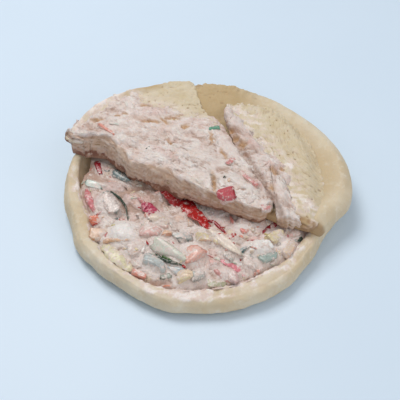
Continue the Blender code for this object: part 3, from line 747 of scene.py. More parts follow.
def build_hinge():
    """The upper layer behind the fold, with a bead along its right rim and a crumbly back."""
    centre = np.array((8.0, 28.0))
    outline = outline_round(centre, 480, 160.0, on_hinge)
    steps = np.concatenate([np.linspace(0.5, 14, 26), np.linspace(15.5, 30, 10)])
    grid, _, turned = slab_grid(outline, centre, hinge_under, hinge_top, steps, np.linspace(0.05, 0.97, 16))
    x, y, z = grid[..., 0].copy(), grid[..., 1].copy(), grid[..., 2]
    around, radius = angle_of(x, y), np.hypot(x, y)
    depth = hinge_edge_radius(around) - radius
    upper = (turned[:, None] > 0) * np.ones_like(x)
    z += 1.8 * hump(depth - 6.5, 4.5) * bell(around, 15, 46) * upper
    z -= 1.2 * hump(depth - 15.5, 4.0) * bell(around, 18, 46) * upper
    back = hump(around - 86.0, 22.0, 4)
    fringe = back * hump(depth - 5.0, 5.0) * upper
    ragged = np.maximum(0.0, rough(x / 3.2, y / 3.2, z / 3.2, 21, 3) + 0.25) * 1.5 * fringe
    relief, fibre = crumb_relief(x, y, 31)
    crumby = back * ramp(radius, 30, 14.0) * upper
    soft = 0.55 * grain(x / 15, y / 15, z / 15, 23) + 0.25 * rough(x / 5, y / 5, z / 5, 24)
    grid = push_out(grid, turned, ragged + 0.5 * relief * crumby + soft)
    tan_and_shade = 0.95 * back * ramp(radius, 20, 16.0) * (1 - 0.5 * hump(depth, 7.0))
    # The groove inside the rim bead is darker: partly golden crust, partly painted shade of the flap's free
    # edge.
    tan_and_shade = tan_and_shade + 0.50 * hump(depth - 15.5, 5.0) * bell(around, 15, 50)
    tan_and_shade = tan_and_shade + 0.16 * np.clip(rough(x / 20, y / 20, z / 20, 25) + 0.3, 0, 1)
    # Painted shade: the front strip under the fold darkens through the tan and the shading values.
    front = 1 - ramp(behind_edge(x, y), 3.0, 5.0)
    values = {"painted_shading": np.clip(fibre * crumby + 0.5 * soft - 1.5 * front, -1, 1),
              "tan_and_shade": np.clip(tan_and_shade + front, 0, 1), "crumb": np.clip(0.6 * crumby, 0, 1),
              "smear": np.zeros_like(x)}
    low = (*centre, float(hinge_under(*centre)))
    high = (*centre, float(hinge_top(*centre)))
    skin("upper_bread", low, grid, high, bread, values, "bread")


def left_outline(count):
    fold = [fold_point(s) + BACKWARD * (1.3 + set_back(s))
            for s in (0.05, 0.12, 0.18, 0.24, 0.32, 0.46, 0.60, 0.72, 0.82)]
    tear = [(34.8, -14.6), (27.8, -1.8), (17.4, 15), (11.6, 31), (5.5, 42), (1, 48)]
    rim = [(-4, 62), (-8, 74), (-18, 76.5), (-30, 71), (-44, 66), (-58, 58), (-67, 50), (-74, 40),
           (-79.5, 29)]
    return closed_curve(fold + tear + rim, count)


def right_outline(count):
    fold = [fold_point(s) for s in (0.865, 0.93, 0.985)]
    rim = [(61, -23), (64, -8), (64.5, 6), (62, 25), (55, 44), (43, 57), (28, 62), (13, 58)]
    tear = [(14.0, 47), (17.3, 34), (21.8, 20), (30.3, 4), (37.6, -12)]
    return closed_curve(fold + rim + tear, count)


def ragged_outline(outline, centre, amount, seed):
    """An outline with torn wiggles. `amount` may differ from point to point."""
    x, y = outline.T
    wiggle = rough(x / 7.0, y / 7.0, 0.0, seed, 2) * 0.9 + rough(x / 2.2, y / 2.2, 0.0, seed + 4, 2) * 0.6
    away = outline - centre
    away /= np.linalg.norm(away, axis=1, keepdims=True)
    return outline + away * (wiggle * amount)[:, None]


def nose(x, y, under):
    """Underside of a flap that wraps down over the edge of the upper layer at the fold."""
    share = behind_fold(x, y)[1]
    wrap = 1.0 - ramp(behind_edge(x, y), 2.0, 6.0)
    low = hinge_plane(x, y) - LAYER - 0.3 + 0.5 * rough(share * 16, 0.3, 0.0, 57, 2)
    low = low + 1.8 * (1.0 - ramp(share, 0.03, 0.10))
    return under(x, y) * (1 - wrap) + low * wrap


def build_flap(name, outline, centre, under, over, at_rim, seed, bead, shares, arcs, smeared, daubed):
    """One half of the flap, crumb side up, with a rounded fold, a rolled rim and a torn edge. `arcs` is
    the centre of the crumb's fibres, `smeared` gives the cream on the crumb and `daubed` on the fold."""
    steps = np.linspace(0.6, 26, 42)
    grid, reach, turned = slab_grid(outline, centre, lambda x, y: nose(x, y, under), over, steps, shares, 18)
    x, y, z = (grid[..., k].copy() for k in range(3))
    turn = turned[:, None]
    upper = ramp(turn, -60.0, 90.0) * np.ones_like(x)
    on_top = ramp(turn, 10.0, 60.0)
    inset = np.minimum(reach, 60.0)
    rolled = hump(inset - 2.0, 2.6) * at_rim
    grid[..., 2] += bead * rolled * upper
    smooth_rim = 1 - np.clip(rolled * 1.4, 0, 1)
    face = fall(behind_edge(x, y), 7.0, 4.0)

    # Crumb on top, slanting sheets on the face of the fold, and a torn edge
    relief, fibre = crumb_relief(x, y, seed, *arcs)
    u = fold_frame(x, y)[0]
    sheets = billow(u / 11.0, (z + 0.18 * u) / 1.2, 0.3, seed + 7) - 0.5
    sheets = sheets + 0.5 * rough(u / 5.0, z / 1.6, 0.0, seed + 15, 2)
    torn = rough(x / 2.4, y / 2.4, z / 2.4, seed + 8, 3) * (1 - smoothstep(inset / 3.0)) * (1 - at_rim)
    push = 1.3 * relief * on_top * (1 - face) * smooth_rim + 0.8 * sheets * face + 0.7 * torn
    push = push + 0.5 * rough(x / 12, y / 12, z / 12, seed + 9, 2)
    grid = push_out(grid, turned, push * upper)

    # On the fold's face the tan is partly the bread's golden nose, partly painted shade under the fold; the
    # shading value darkens the face, most of all its underside, as painted shade.
    tan_and_shade = 1.0 * rolled + (1.1 - 0.2 * daubed) * face
    tan_and_shade = tan_and_shade + 0.20 * np.clip(rough(x / 14, y / 14, 0.0, seed + 12) + 0.2, 0, 1)
    painted_shading = (1.2 * fibre * on_top * (1 - face) + 1.4 * sheets * face) * smooth_rim + 0.4 * torn
    painted_shading = np.clip(painted_shading, -1, 1) - 1.3 * face * (1 - ramp(turn, -10.0, 60.0)) - 0.8 * face
    daubs = ramp(rough(u / 6.0, z / 2.5, 0.0, seed + 17, 2), -0.1, 0.5)
    smear = np.clip(smeared(x, y) * (1 - face) * on_top + daubed * daubs * face * upper, 0, 1)
    tip = 1 - ramp(behind_fold(x, y)[1], 0.05, 0.06)
    smear = np.maximum(smear, 0.9 * tip * upper * fall(sheets, 0.5, 0.6))
    values = {"painted_shading": painted_shading * (1 - 0.75 * tip), "tan_and_shade": np.clip(tan_and_shade, 0, 1) * (1 - 0.6 * tip),
              "crumb": np.clip(smooth_rim, 0, 1) * upper, "smear": smear}
    low = (*centre, float(under(*centre)))
    high = (*centre, float(grid[-1, :, 2].mean()))
    skin(name, low, grid, high, bread, values, "bread")


def build_left_flap():
    outline = left_outline(520)
    centre = np.array((-18.0, 28.0))
    x, y = outline.T
    behind = behind_fold(x, y)[0]
    at_tear = smoothstep((x + 10 - 0.2 * (60 - y)) / 8.0) * ramp(behind, 3, 4.0)
    at_rim = (1 - at_tear) * ramp(behind, 3, 4.0) * fall(x, -22, 10.0)
    loose = ramp(behind, 2, 6.0)
    calm = ramp(y, 55.0, 8.0)
    outline = ragged_outline(outline, centre, loose * (1.0 - 0.8 * at_rim) * (1.0 - 0.6 * calm), 41)
    border = closed_curve(CREAM_BACK + [(12, 20), (-40, 0), (-80, 20)], 300)

    def smeared(x, y):
        away = distance_to(border, x, y)
        return 0.8 * hump(away, 5.0) * (0.5 + 0.5 * rough(x / 4, y / 3, 0.0, 47, 2))

    build_flap("flap_left", outline, centre, left_flap_under, left_flap_top, at_rim, 51, 1.1,
               np.linspace(0.05, 0.97, 12), (-6.0, -60.0), smeared, 0.3)


def build_right_flap():
    outline = right_outline(480)
    centre = np.array((42.0, 20.0))
    x, y = outline.T
    behind = behind_fold(x, y)[0]
    at_rim = ramp(x, 50, 8.0) * ramp(behind, 3, 4.0) * 0.15
    loose = ramp(behind, 2, 6.0)
    outline = ragged_outline(outline, centre, loose * 0.6, 61)

    def seated(x, y):
        """1 inside the flap, fading to 0 along the edges that lie flush on the layer below."""
        away = distance_to(outline, x, y)
        free = ramp(right_of_tear(x, y), 6.0, 8.0) * ramp(behind_fold(x, y)[0], 2.0, 7.0)
        return 1 - (1 - smoothstep(away / 9.0)) * free

    def over(x, y):
        share = seated(x, y)
        return right_flap_top(x, y) * share + (hinge_top(x, y) - 0.6) * (1 - share)

    def under(x, y):
        return np.minimum(right_flap_under(x, y), over(x, y) - 1.5)

    def smeared(x, y):
        spots = ramp(rough(x / 9, y / 7, 0.0, 63, 3), 0.15, 0.5)
        edge = hump(distance_to(outline, x, y), 4.0) * ramp(x, 52, 6.0)
        streaks = ramp(rough(x / 6, y / 4, 0.0, 65, 3), -0.25, 0.5)
        streaks = streaks * fall(right_of_tear(x, y), 26, 9.0)
        return 0.5 * spots * fall(y, 30, 20.0) + 0.5 * edge * spots + 0.75 * streaks

    build_flap("flap_right", outline, centre, under, over, at_rim, 71, 0.3,
               np.linspace(0.05, 0.97, 18), (78.0, 34.0), smeared, 0.85)


# The mix

def mix_base(x, y):
    """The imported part's own top of the mix, without its lumps."""
    radius, angle = np.hypot(x, y), angle_of(x, y)
    behind = behind_fold(x, y)[0]
    inner = inner_radius(angle) - 1.0
    heap = rim_height(angle) - 3.2 + 5.6 * quarter((inner - radius) / 46.0)
    open_top = np.minimum(heap, HEAP_LIMIT) - 1.5 * hump(behind + 1.0, 4.5)
    roof, edge = hinge_plane(x, y) - LAYER - 1.0, rim_height(angle) - 4.8
    packed = edge + (roof - edge) * quarter((inner - 1.5 - radius) / 15.0)
    return np.minimum(open_top + (packed - open_top) * ramp(behind, 6.0, 14.0), roof)


# Colours of the mix and of what is in it
BRIGHT = (0.88, 0.86, 0.83)
WHITE, PINK, ROSE = (0.83, 0.77, 0.73), (0.72, 0.43, 0.39), (0.62, 0.24, 0.23)
PEACH, YELLOW, OLIVE = (0.74, 0.49, 0.33), (0.74, 0.63, 0.40), (0.44, 0.43, 0.29)
GREY, MAUVE, BEIGE = (0.44, 0.45, 0.42), (0.52, 0.38, 0.37), (0.71, 0.58, 0.45)
RED, CRIMSON, SALMON = (0.44, 0.010, 0.011), (0.32, 0.010, 0.022), (0.74, 0.31, 0.24)
GREEN, TEAL, FLESH = (0.03, 0.06, 0.035), (0.05, 0.10, 0.10), (0.58, 0.61, 0.51)

FILLER_COUNT = 150
# Chunks under the cream: x, y, length, width, rise, heading, slope, tint, strength of the tint
CHUNKS = (
    (-50.6, 1.8, 14, 8, 2.6, -5, 0.10, MAUVE, 0.6), (-44.5, -29.5, 8.5, 9, 3.0, 0, 0.0, WHITE, 0.9),
    (-56.8, -27.4, 10, 7, 2.2, -8, 0.0, PEACH, 0.8), (-48.4, -33.4, 16, 4, 1.6, 6, 0.0, PEACH, 0.7),
    (-46.5, -45.3, 23, 9, 2.4, -46, 0.05, YELLOW, 0.7), (-34.1, -55.3, 9, 4, 1.6, -28, 0.0, PEACH, 0.8),
    (-27.6, -49.9, 14, 9, 2.8, -36, 0.0, GREY, 0.7), (-18.0, -44.8, 18, 11, 3.8, -40, -0.10, WHITE, 0.7),
    (-13.5, -33.6, 11, 7, 2.4, 0, 0.0, GREY, 0.55), (-20.5, -31.8, 8, 4, 1.8, 5, 0.0, PEACH, 0.6),
    (-30.0, -29.1, 13, 9, 2.6, -15, 0.0, PINK, 0.4), (-26.9, -21.7, 15, 10, 2.8, -30, 0.0, WHITE, 0.4),
    (-7.5, -47.2, 14, 13, 3.2, -15, 0.05, PINK, 0.5), (-10.9, -59.0, 8.5, 7.5, 2.8, 0, 0.0, BEIGE, 0.8),
    (-4.4, -57.7, 7.5, 7.0, 2.8, 10, 0.0, GREY, 0.8), (0.5, -35.1, 12, 7.5, 2.8, -5, 0.0, YELLOW, 0.7),
    (9.0, -37.9, 24, 8, 3.4, -50, 0.0, WHITE, 0.6), (2.5, -44.2, 9, 7, 2.0, 60, 0.0, PINK, 0.4),
    (3.1, -50.5, 7, 5, 1.8, 0, 0.0, PINK, 0.6), (27.1, -39.8, 13, 9, 3.2, 10, 0.0, WHITE, 0.7),
    (36.4, -41.0, 9, 8, 2.8, 20, 0.0, WHITE, 0.6), (37.1, -33.0, 10, 8, 3.2, 35, 0.0, YELLOW, 0.75),
    (43.1, -39.0, 12, 8.5, 3.0, 55, 0.0, PEACH, 0.6), (46.4, -29.1, 7.5, 7, 2.6, 0, 0.0, PINK, 0.4),
    (31.6, -46.4, 12, 7, 2.4, 20, 0.0, OLIVE, 0.6), (21.3, -50.5, 10, 7, 2.4, -30, 0.0, WHITE, 0.5),
    (26.3, -52.8, 13, 7, 1.6, 38, 0.0, WHITE, 0.5), (5.1, -61.0, 10, 5, 1.6, -6, 0.0, OLIVE, 0.7),
    (14.0, -43.3, 8, 6, 2.2, 20, 0.0, WHITE, 0.6), (20.1, -23.5, 13, 9, 2.2, 10, 0.0, MAUVE, 0.4),
    (0.0, -11.6, 14, 8, 2.0, -42, 0.0, MAUVE, 0.4), (-37.8, -7.6, 12, 8, 2.2, -40, 0.0, PINK, 0.4),
    (-53.9, -9.7, 20, 12, 2.4, -56, 0.0, MAUVE, 0.55), (-36.1, -39.8, 12, 9, 2.4, 30, 0.0, BEIGE, 0.5),
    (-26.1, -37.2, 9, 7, 2.2, 0, 0.0, WHITE, 0.5), (-42.2, -18.7, 11, 8, 2.0, 40, 0.0, PINK, 0.3),
    (-10.0, -25.2, 12, 9, 2.2, -20, 0.0, WHITE, 0.5), (12.2, -56.0, 11, 7, 2.4, -42, 0.0, MAUVE, 0.5),
)


def draw_spot(draw, reach):
    """A place drawn evenly from a disc."""
    turn, radius = draw.uniform(0, 2 * math.pi), reach * math.sqrt(draw.uniform())
    return radius * math.cos(turn), radius * math.sin(turn)


def in_open_mix(x, y, margin, furthest):
    """True inside the rim by a margin and no further behind the fold than it may lie."""
    return np.hypot(x, y) < inner_radius(angle_of(x, y)) - margin and behind_fold(x, y)[0] < furthest


def filler_chunks():
    """Chunks for the places between those that are listed."""
    draw = np.random.default_rng(5)
    tints = (WHITE, WHITE, PINK, BEIGE, PEACH, MAUVE, GREY, YELLOW, ROSE)
    rows = []
    while len(rows) < FILLER_COUNT:
        x, y = draw_spot(draw, 72)
        measures = [draw.uniform(*v) for v in ((4.5, 9.0), (3.5, 6.5), (0.8, 2.0), (0, 180), (-0.22, 0.22))]
        tint, strength = tints[int(draw.integers(len(tints)))], draw.uniform(0.3, 0.8)
        if in_open_mix(x, y, 2.0, 8.0):
            rows.append((x, y, *measures, tint, strength))
    return rows


def local_frame(x, y, place, heading):
    """Distance along and across a shape at a place, with its heading in degrees."""
    turn = math.radians(heading)
    dx, dy = x - place[0], y - place[1]
    return dx * math.cos(turn) + dy * math.sin(turn), dy * math.cos(turn) - dx * math.sin(turn)


def soft_gain(gap, rounding):
    """A gap where it is positive and 0 where it is negative, with a rounded knee."""
    return 0.5 * (gap + np.sqrt(gap * gap + rounding))


def lift_chunks(x, y, base, chunks, square=3.6, steep=0.36):
    """The surface with chunks under its skin, and their tint with its strength."""
    shape = np.shape(x)
    x, y, base = (np.ravel(np.asarray(v, float)) for v in (x, y, base))
    z = base.copy()
    tint = np.tile(np.array((*WHITE, 0.0)), (len(x), 1))
    for cx, cy, length, width, rise, heading, slope, colour, strength in chunks:
        reach = 0.62 * max(length, width)
        near = np.flatnonzero((np.abs(x - cx) < reach) & (np.abs(y - cy) < reach))
        if not len(near):
            continue
        bend = 0.10 * grain((x[near] - cx) / 5 + cx, (y[near] - cy) / 5 + cy, 0.0, 77)
        u, v = local_frame(x[near], y[near], (cx, cy), heading)
        u, v = u / (length / 2.0), v / (width / 2.0)
        q = np.abs(u) ** square + np.abs(v) ** square + 2.0 * bend
        dome = np.clip(1.0 - q, 0.0, 1.0) ** steep
        tilt = slope + 0.13 * math.sin(12.9 * cx + 78.2 * cy)
        gap = base[near] + rise * dome + tilt * v * width / 2.0 - 0.35 - z[near]
        z[near] += np.where(q < 1.0, soft_gain(gap, 0.06), 0.0)
        tint[near] = dyed(tint[near], (*colour, strength), ramp(gap, -0.2, 0.9) * (q < 1.0))
    return z.reshape(shape), tint.reshape(*shape, 4)


FILL_LEVEL = 0.3
LOOSE_CHUNKS = list(CHUNKS) + filler_chunks()


def open_share(x, y):
    """1 where the mix lies open in front of the fold, 0 well under it."""
    return fall(behind_fold(x, y)[0], 12.0, 12.0)


def cream_texture(x, y, seed):
    """Small smears of the mix, in millimetres."""
    wx = x + 1.6 * grain(x / 7, y / 7, 0.0, seed)
    wy = y + 1.6 * grain(x / 7, y / 7, 0.0, seed + 1)
    middle = billow(wx / 3.4, wy / 2.6, 0.0, seed + 3) - 0.45
    small = rough(wx / 1.6, wy / 1.4, 0.0, seed + 4, 2)
    return 0.55 * middle + 0.22 * small


def mix_surface(x, y):
    """Height of the mix, its tint, and a shading value from how deep each point lies between its lumps:
    painted shade in the hollows and cracks, painted highlights on the lumps and painted light just behind the
    fold.
    """
    x, y = np.asarray(x, float), np.asarray(y, float)
    angle = angle_of(x, y)
    inside = inner_radius(angle) - np.hypot(x, y)
    base = mix_base(x, y)
    lumpy, tint = lift_chunks(x, y, base, LOOSE_CHUNKS)
    mound, mound_tint = lift_chunks(x, y, base, MOUNDS, 2.4, 0.8)
    gap = mound - lumpy
    rise = lumpy + soft_gain(gap, 0.3) - 0.25 - base
    tint = dyed(tint, mound_tint, ramp(gap, -0.3, 1.2))
    fade = ramp(inside, -0.6, 2.0) * (0.15 + 0.85 * open_share(x, y))
    texture = cream_texture(x, y, 81)
    filled = FILL_LEVEL + soft_gain(rise - FILL_LEVEL, 1.0)
    crack = np.maximum(creases(x, y, 4.5, 3.6, 87), 0.9 * creases(x, y, 2.4, 2.0, 91))
    z = base + (filled - 0.7) * fade + (texture - 0.35 * crack) * (0.35 + 0.65 * fade)

    # A bare hollow at the left, and the mix that climbs onto the lip of the rim
    dish = LAYER + 1.0
    hollow = 5.5 * bell(angle, 164, 9) - 0.8
    bare = smoothstep(hollow / 1.5)
    z = z + (dish - z) * smoothstep((hollow - inside) / 2.0 + 0.5) * bare
    smear = ramp(rough(x / 5, y / 5, 0.0, 85, 2), -0.3, 0.6) * (0.55 + 0.7 * bell(angle, -92, 20))
    on_lip = lip_top(x, y) + 1.4 * smear - 0.75 + 0.8 * texture
    on_lip = on_lip + (dish - on_lip) * bare
    z = np.where(inside < 0.01, on_lip, z + (on_lip - z) * fall(inside, 1.6, 1.6))

    behind, share = behind_fold(x, y)
    # Painted light: just behind the fold, where the flap shades the mix, it gets a paler tint and a lighter
    # shading value.
    painted_light_near_fold = 0.97 * hump(behind + 3.0, 8.0) * ramp(share, 0.42, 0.12)
    # Elsewhere the shading value is painted shade between the lumps and in the cracks, and a painted
    # highlight on the lumps.
    painted_shading = np.clip(rise / 1.7 - 1.05, -1.0, 0.45) + 1.0 * texture - 0.8 * crack + 0.8 * painted_light_near_fold
    tint = dyed(tint, (0.97, 0.76, 0.72, 1.0), painted_light_near_fold)
    tint[..., 3] = np.minimum(tint[..., 3], 0.93) * fade
    return z, tint, np.clip(painted_shading, -1, 1) * fade


def in_filling(x, y):
    """Inside the ring that the mix reaches, a little up on the rim at the open front."""
    angle = angle_of(x, y)
    spill = 2.4 * front_share(angle) * (1 - bell(angle, 166, 12))
    return np.hypot(x, y) < inner_radius(angle) - 0.3 + spill


def build_filling():
    count, centre, bottom = 720, np.array((-3.0, -26.0)), LAYER + 0.3
    outline = outline_round(centre, count, 170.0, in_filling)
    rings = []
    for share, drop in ((0.5, 99.0), (0.2, 99.0), (0.10, 4.0), (0.05, 2.0), (0.01, 1.0)):
        p = outline * (1 - share) + centre * share
        rings.append(np.column_stack([p, np.maximum(bottom, mix_surface(*p.T)[0] - drop)]))
    for share in np.concatenate([[0.0, 0.006], np.linspace(0.014, 0.985, 118)]):
        p = outline * (1 - share) + centre * share
        rings.append(np.column_stack([p, mix_surface(*p.T)[0]]))
    grid = np.array(rings)
    _, tint, painted_shading = mix_surface(grid[..., 0], grid[..., 1])
    values = {"painted_shading": painted_shading, "tint": tint, "brown": np.zeros_like(painted_shading)}
    skin("filling_mix", (*centre, bottom), grid, tuple(grid[-1].mean(axis=0)), cream, values,
         "filling")


def marks(x, y, rows):
    """How deep torn marks are at each point, in millimetres, and their share of brown."""
    depth, brown = np.zeros_like(x), np.zeros_like(x)
    for cx, cy, length, width, heading, deep in rows:
        dx, dy = x - cx, y - cy
        wander = 0.9 * grain(dx / 2.6 + cy, dy / 2.6, 0.0, 171)
        wander = wander + 0.5 * grain(dx / 1.2, dy / 1.2 + cx, 0.0, 172)
        u, v = local_frame(x, y, (cx, cy), heading)
        u = u / (length / 2.0) + 0.35 * grain(dx / 3.0, dy / 1.5, cx, 173)
        v = (v + wander) / (width / 2.0)
        depth = np.maximum(depth, deep * np.exp(-(u ** 4) - v * v))
        depth = depth - 0.45 * np.exp(-(u ** 4) - (v - 2.0) ** 2 * 1.5)
        brown = np.maximum(brown, 0.9 * np.exp(-(u ** 4) - (v - 0.2) ** 2 * 0.9))
    return depth, brown


FLAP_CHUNKS = (
    (4.0, 24.0, 13, 7, 1.8, -70, 0.0, WHITE, 0.5), (14.0, 0.0, 18, 10, 1.6, -55, 0.0, WHITE, 0.6),
    (22.0, -13.0, 16, 12, 1.8, -50, 0.0, WHITE, 0.6), (-2.0, 6.0, 15, 8, 1.4, -60, 0.0, WHITE, 0.4),
    (28.0, -7.0, 14, 5, 1.5, -55, 0.0, PINK, 0.5), (-14.0, 32.0, 22, 9, 1.3, 5, 0.0, WHITE, 0.4),
    (-30.0, 45.0, 24, 9, 1.2, 5, 0.0, PINK, 0.3), (-52.0, 36.0, 20, 9, 1.3, -25, 0.0, WHITE, 0.4),
    (-44.0, 22.0, 24, 8, 1.5, -28, 0.0, WHITE, 0.4), (-66.0, 28.0, 12, 7, 1.6, -20, 0.0, MAUVE, 0.4),
    (-22.0, 12.0, 24, 8, 1.4, -30, 0.0, PINK, 0.3), (34.0, -21.0, 10, 8, 1.5, -60, 0.0, MAUVE, 0.5),
    (-5.0, -7.0, 12, 7, 1.3, -35, 0.0, BEIGE, 0.5),
)


def fibres(x, y, seed):
    """Short drawn-out smears that run along the fold, in patches between smooth cream."""
    u, v = fold_frame(x, y)
    u, v = u + 3.0 * grain(x / 12, y / 12, 0.0, seed), v + 2.2 * grain(x / 9, y / 9, 0.0, seed + 1)
    long = billow(u / 8.5 + v / 30, v / 2.4, 0.0, seed + 2) - 0.45
    short = billow(u / 3.2, v / 1.2, 0.0, seed + 3) - 0.45
    patch = ramp(grain(x / 13, y / 10, 0.0, seed + 5), -0.45, 0.9)
    broad = 1.3 * grain(u / 17, v / 7.5, 0.0, seed + 7)
    crumbs = rough(x / 1.5, y / 1.5, 0.0, seed + 9, 2)
    return (0.25 + 0.60 * patch) * long + (0.15 + 0.35 * patch) * short + broad + 0.16 * crumbs


def flakes(x, y, seed):
    """Small torn flakes of the cream with crisp edges."""
    u, v = fold_frame(x, y)
    u, v = u + 1.8 * grain(x / 4, y / 4, 0.0, seed), v + 1.8 * grain(x / 4, y / 4, 0.0, seed + 1)
    wide = ramp(grain(u / 6.0, v / 2.6, 0.0, seed + 2), 0.08, 0.12)
    small = ramp(grain(u / 2.8, v / 1.5, 0.0, seed + 3), 0.10, 0.14)
    patch = ramp(grain(x / 16, y / 12, 0.0, seed + 5), -0.35, 0.8)
    return (0.15 + 0.45 * patch) * (wide - 0.4) + (0.12 + 0.28 * patch) * (small - 0.4)


def face_colours_and_shade(share, streak):
    """Tints of the face at the fold: sheets of brown, partly the torn crumb's own colour and partly painted
    shade, smeared at its corner and paler at the left.
    """
    corner = 1 - ramp(share, 0.03, 0.09)
    left = (1 - ramp(share, 0.36, 0.2)) * (1 - 0.6 * corner)
    tint = dyed(np.array(FACE_BROWN), FACE_CORNER, corner)
    return dyed(dyed(tint, FACE_STREAK, 0.55 * streak), FACE_LEFT, left)


def spread_piece(name, node, outline, centre, under, over, face, lean, steps, shares, colours):
    """A smear of the mix on the flap, with fibres, torn marks and a striated front face."""
    grid, _, turned = slab_grid(outline, centre, under, over, steps, shares, 26, lean, 1.2, 2.0)
    x, y, z = (grid[..., k].copy() for k in range(3))
    turn = turned[:, None]
    u, v = fold_frame(x, y)
    share = behind_fold(x, y)[1]
    tint, depth, brown = colours(x, y)
    on_face = face * fall(turn, 85.0, 30.0) * np.ones_like(x)
    upper = ramp(turn, -60.0, 60.0)

    # Sheets on the face, a knobbly left corner, a lip over the face, and fibres and flakes on top
    sheet = billow(u / 13.0, (z + 0.20 * u) / 1.6, 0.7, 141) - 0.5
    sheet = sheet + 0.35 * (billow(u / 6.0, (z + 0.25 * u) / 0.8, 0.2, 143) - 0.5)
    lump = rough(x / 4.0, y / 4.0, z / 3.0, 145, 3)
    knobs = (1 - ramp(share, 0.03, 0.10)) * (rough(x / 3.4, y / 3.4, z / 2.6, 163, 3) - 0.15)
    lip = face * hump(turn - 78.0, 14.0) * (0.6 + 0.9 * rough(u / 3.2, 0.4, 0.0, 157, 2))
    thread = fibres(x, y, 147)
    crease = creases(u, v, 5.0, 2.4, 161)
    torn = flakes(x, y, 151) - 0.40 * crease
    push = on_face * (0.95 * sheet + 0.6 * lump) + (1 - on_face) * 0.2 * lump + 0.9 * lip + 1.5 * knobs
    grid = push_out(grid, turned, push * upper)
    z = grid[..., 2] + (thread + torn - depth) * (1 - on_face) * upper
    floor = under(grid[..., 0], grid[..., 1]) + 0.4 * upper
    grid[..., 2] = np.where(turn > 40.0, np.maximum(z, floor), z)

    # Painted shade and highlights through the shading value: the face's sheets and the creases darken, and
    # flakes and lumps lighten.
    painted_shading = on_face * np.minimum(1.5 * sheet + 0.4 * lump - 0.2, 0.2)
    painted_shading = painted_shading + (1 - on_face) * (0.7 * thread + 0.9 * torn + 0.3 * lump - 0.5 * crease)
    # The face's browns are partly own colour and partly painted shade; its foot is darkened as painted shade
    # under the fold.
    streak = ramp(sheet + 0.4 * lump, 0.02, 0.3)
    foot = smoothstep((-22.0 - turn + 30.0 * lump) / 26.0) * face
    weight = np.clip(on_face - 0.9 * lip, 0, 1) * (0.8 + 0.2 * lump)
    tint = dyed(tint, face_colours_and_shade(share, streak), weight)
    tint = dyed(tint, (*BRIGHT, 0.93), 0.75 * np.clip(lip, 0, 1))
    tint = dyed(tint, FACE_FOOT_SHADE, foot)
    brown = brown * (1 - on_face) + 0.45 * weight * (1 - 0.9 * streak) * (1 - 0.8 * foot)
    low = (*centre, float(under(*centre)))
    values = {"painted_shading": np.clip(painted_shading, -1, 1), "tint": np.clip(tint, 0, 1), "brown": brown}
    skin(name, low, grid, tuple(grid[-1].mean(axis=0)), cream, values, node)


# Tints of the face at the fold, with their strength. The browns are partly own colour and partly painted
# shade;
# the foot's tint is painted shade under the fold.
FACE_BROWN, FACE_CORNER = (0.45, 0.27, 0.15, 0.97), (0.42, 0.27, 0.23, 0.97)
FACE_STREAK, FACE_LEFT = (0.74, 0.60, 0.48, 0.97), (0.60, 0.45, 0.34, 0.97)
FACE_FOOT_SHADE = (0.21, 0.085, 0.055, 1.0)

# How far the top of the cream stands back from its lower edge, along the fold
FOLD_LEANS = ((0.0, 3.0), (0.08, 4.5), (0.15, 6.0), (0.21, 4.5), (0.27, 0.8), (0.33, 3.2), (0.42, 6.5),
              (0.48, 2.2), (0.55, 0.8), (1.0, 0.5))
# The back border of the cream on the left half, from the tear to the left corner
CREAM_BACK = [(3.0, 43), (-2.8, 42.4), (-13.3, 47.0), (-23.4, 53.6), (-37.1, 57.0), (-41.5, 63.5),
              (-48.6, 61.2), (-57.0, 55.5), (-64.6, 48.9), (-70.0, 41.0), (-79.5, 29.5)]


def flap_cream_top(x, y):
    """Top of the cream on the left half, sunk into the crumb behind its back border."""
    behind, share = behind_fold(x, y)
    thick = 1.1 + 4.0 * hump(behind - 4.0, 24.0) * (1.05 - 0.55 * share)
    thick = thick * (0.42 + 0.58 * ramp(share, 0.01, 0.13))
    inside = inside_distance(CREAM_LINE, x, y) + 1.6 * rough(x / 5, y / 4, 0.0, 107, 2)
    mask = np.maximum(ramp(inside, 0.3, 5.0), fall(behind, 12, 6.0))
    sunk = (1 - ramp(inside, -1.0, 2.0)) * ramp(behind, 7.0, 3.0)
    dip = 2.2 * ramp(right_of_tear(x, y), -3.0, 2.6) * ramp(behind, 1.0, 5.0)
    return left_flap_top(x, y) + 0.3 + thick * mask - 1.4 * sunk - dip


def inside_distance(line, x, y):
    """Distance from a closed line, positive inside it."""
    px, py = np.ravel(np.asarray(x, float)), np.ravel(np.asarray(y, float))
    inside = np.zeros(len(px), bool)
    for (ax, ay), (bx, by) in zip(line, np.roll(line, -1, 0)):
        if ay != by:
            crosses = (ay > py) != (by > py)
            inside ^= crosses & (px < (bx - ax) * (py - ay) / (by - ay) + ax)
    away = distance_to(line, px, py)
    return np.where(inside, away, -away).reshape(np.shape(x))


CREAM_FRONT = [(-80, 15), (-40, -6), (0, -22), (40, -36), (42, -20), (31, 0), (20, 18), (13, 34)]
CREAM_LINE = closed_curve(CREAM_BACK + CREAM_FRONT, 260)


